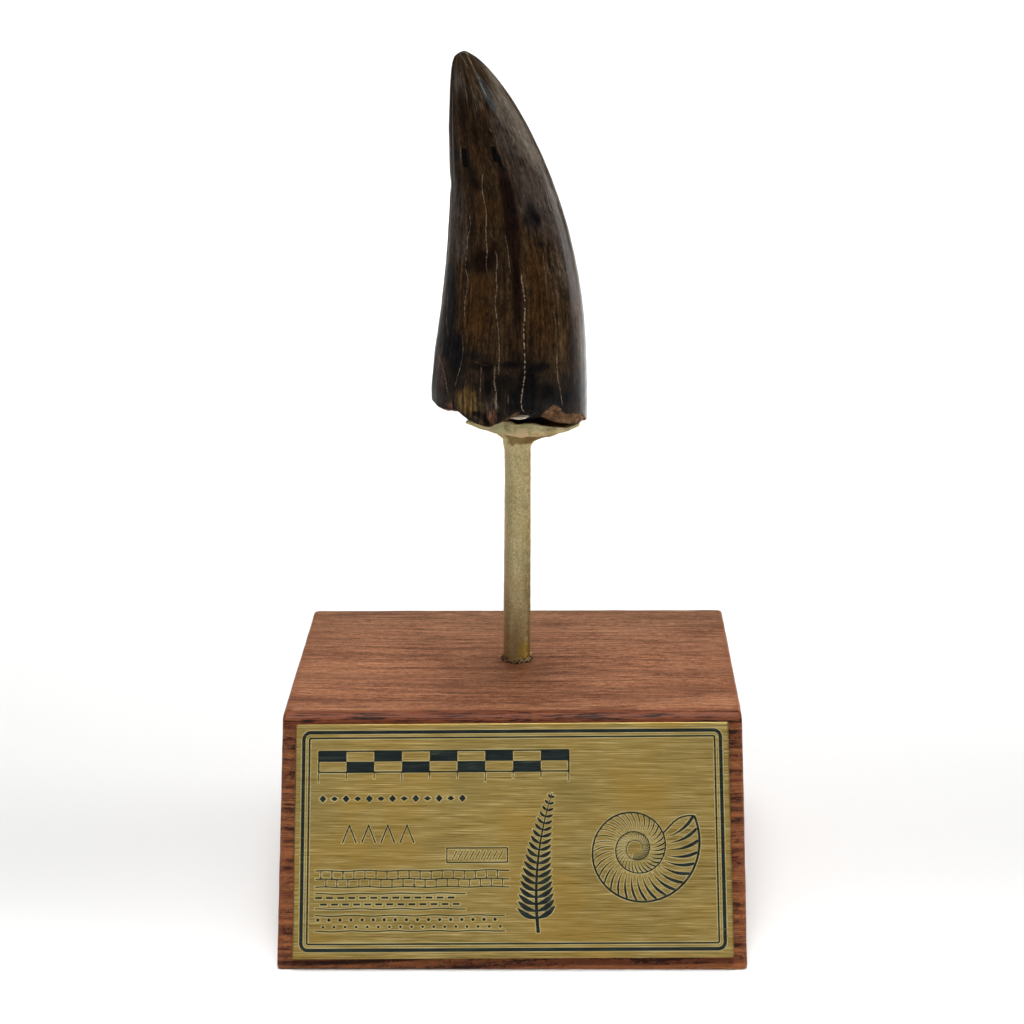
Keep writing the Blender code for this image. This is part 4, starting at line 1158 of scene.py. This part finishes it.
def makePlate():
    # rounded rectangles stacked through the thickness, the last ones drawn in for the bevelled edge
    depth, bevel = plate["thickness"], plate["bevel"]
    rows = ((20.0, -depth), (3.0, -depth), (0.12, -depth), (0.0, -depth + 0.1), (0.0, -bevel - 0.1),
            (0.02, -bevel), (bevel * 0.35, -bevel * 0.25), (bevel, 0.0), (bevel + 0.15, 0.0),
            (3.0, 0.0), (20.0, 0.0))
    grid = np.stack([platePoint(roundedRectangle(inset, max(plate["cornerRadius"] - inset * 0.3, 0.05)),
                                out) for inset, out in rows])
    edge = slice(3, 7)
    grid[edge] += 0.03 * waves(grid[edge], 1.5, 71)[..., None] * gridNormals(grid)[edge]
    middle = (plate["width"] / 2, plate["height"] / 2)
    skin = closedSkin(grid[:, ::-1], platePoint(middle, -depth), platePoint(middle, 0.0))
    addPiece("brassPlate", skin, makeBrushedBrass(), "plaque", 30)


def strokeTubes(strokes, extra, out):
    # each stroke is a path with a width at every point: four corners carried along it, ends capped
    tubes = []
    for path, width in strokes:
        path = np.array(path, float)
        width = np.broadcast_to(width, len(path)) + extra
        way = np.gradient(path, axis=0)
        way /= np.maximum(np.hypot(*way.T), 1e-9)[:, None]
        path[0] -= way[0] * extra / 2
        path[-1] += way[-1] * extra / 2
        side = np.stack([-way[:, 1], way[:, 0]], -1) * width[:, None] / 2
        tubes.append(np.stack([platePoint(path - side, -0.05), platePoint(path + side, -0.05),
                               platePoint(path + side, out), platePoint(path - side, out)], 1))
    return closedTubes(tubes)


def lens(start, end, width, bend=0.0, steps=9):
    # a leaf: a bent line from start to end whose width swells as a sine
    start, end = np.array(start, float), np.array(end, float)
    t = np.linspace(0, 1, steps)
    across = np.array((start[1] - end[1], end[0] - start[0]))
    path = start + (end - start) * t[:, None] + across * (bend * np.sin(math.pi * t))[:, None]
    return path, width * np.sin(math.pi * np.clip(t, 0.02, 0.98)) ** 0.7


def plateStrokes():
    # plain ornaments: a double border, a scale bar, bands of rock signs, a coiled shell and a fern
    strokes = []

    def draw(width, *places):
        strokes.append((places, width))

    def box(left, top, right, bottom, width):
        corners = ((left, top), (right, top), (right, bottom), (left, bottom), (left, top))
        strokes.extend((corners[i:i + 2], width) for i in range(4))

    line, thin = plate["line"], plate["thin"]
    for inset, width, radius in plate["borders"]:
        loop = roundedRectangle(inset, radius)
        draw(width, *loop, loop[0])
    for i in range(9):                           # scale bar
        left, middle = 5.2 + 6.1 * i, 7.15 + 2.3 * (i % 2)
        draw(2.3, (left, middle), (left + 6.1, middle))
        draw(thin, (left, 10.6), (left, 12.0 if i % 3 else 12.8))
    box(5.2, 6.0, 60.1, 10.6, line)
    draw(thin, (60.1, 10.6), (60.1, 12.8))
    for i in range(13):                          # a row of lozenges
        middle = 6.2 + 2.55 * i
        draw((0.05, 1.1 if i % 2 else 1.7, 0.05),
             (middle - 0.75, 16.4), (middle, 16.4), (middle + 0.75, 16.4))
    for i in range(4):                           # chevrons
        left = 10.6 + 4.2 * i
        draw((0.3, 0.75, 0.3), (left, 26.0), (left + 1.5, 22.2), (left + 3.0, 26.0))
    box(33.4, 27.2, 46.6, 30.3, 0.25)            # hatched box
    for left in 34.6 + 1.25 * np.arange(9):
        draw(thin, (left, 29.7), (left + 1.0, 27.8))
    for row, (top, right, heights, signs) in enumerate(plate["rocks"]):
        for left in np.arange(4.8, right - 1.5, 2.4):
            for startU, startV, endU, endV, width in signs:
                ends = ((left + startU, top + startV), (left + endU, top + endV))
                strokes.append(lens(*ends, width, steps=7) if row == 2 else (ends, width))
        reach = np.linspace(4.8, right, 40)
        for height in heights:
            draw(0.24, *zip(reach, top + height + 0.10 * np.sin(reach * 0.7 + row)))

    middleU, middleV, size = plate["shell"]
    shrink = plate["shellShrink"]

    def coil(turn, share=1.0):
        # the shell's spiral: its radius falls off exponentially with the turn; share 0 is the coil inside
        radius = size * np.exp(-shrink * turn) * (share + (1 - share) * math.exp(-shrink * 2 * math.pi))
        return np.stack([middleU + radius * np.cos(turn - 0.5), middleV + radius * np.sin(turn - 0.5)], -1)

    around = np.linspace(0, 2 * math.pi * 3.1, 300)
    across = np.linspace(0, 1, 12)
    strokes += [(coil(around), 0.50 * np.exp(-0.08 * around)),
                (coil(-0.10 * np.sin(math.pi * across), across), 0.35)]
    for turn in np.arange(0.16, 2 * math.pi * 2.4, 0.188):       # ribs, heavier on the shaded side
        shade = 0.5 + 0.5 * math.sin(turn + 0.4)
        width = (0.20 + (0.25 + 0.85 * shade) * across ** 1.5) * math.exp(-shrink * turn)
        strokes.append((coil(turn - 0.16 * across ** 2, 0.10 + 0.86 * across),
                        width * np.sin(math.pi * np.clip(across, 0.06, 0.97)) ** 0.35))

    root, bend, tip = (np.array(item) for item in plate["fern"])

    def onStem(t):
        return root * (1 - t) ** 2 + 2 * bend * t * (1 - t) + tip * t ** 2

    strokes.append((onStem(np.linspace(0, 1, 40)[:, None]), np.linspace(0.75, 0.15, 40)))
    for t in np.linspace(0.10, 0.97, 19):
        way = (bend - root) * (1 - t) + (tip - bend) * t
        way /= np.hypot(*way)
        length = 4.5 * (1 - t) ** 0.8 + 0.6
        for side in (-1, 1):
            end = onStem(t) + (np.array((-way[1], way[0])) * side * 0.86 + way * 0.52) * length
            strokes.append(lens(onStem(t), end, 0.16 * length + 0.35, 0.10 * side))
    return strokes


# bare brass at the edges of the cuts, and the black-green enamel that fills them: name of the material,
# how much wider than the line it is, its height, features per metre of its noise, colours, other values
plateLines = {
    "plateCutEdges": ("cutBrassEdge", 2 * plate["halo"], plate["lift"] / 2, (90, 2200, 2200),
                      ((0.35, "b39d5a"), (0.65, "d8c88f")), {"Metallic": 1.0, "Roughness": 0.5}),
    "plateFilling": ("enamelFill", 0, plate["lift"], (150, 2000, 2000),
                     ((0.40, "141c1b"), (0.62, "222d2c"), (0.75, "4a4a34")),
                     {"Roughness": 0.5, "IOR": 1.5, "Specular IOR Level": 0.15}),
}


def makePlateLines():
    # lines cut into the brass and filled with enamel, each with the pale edge of its cut
    strokes = plateStrokes()
    for name, (material, extra, out, size, stops, values) in plateLines.items():
        finish, add = startMaterial(material)
        grain = add("TexNoise", add("VectorMath MULTIPLY", add("TexCoord", out="Object"), size), 1, 3)
        finish = endMaterial(finish, {"Base Color": add("ValToRGB", grain, stops=stops), **values})
        addPiece(name, strokeTubes(strokes, extra, out), finish, sharp=30)


makePlate()
makePlateLines()
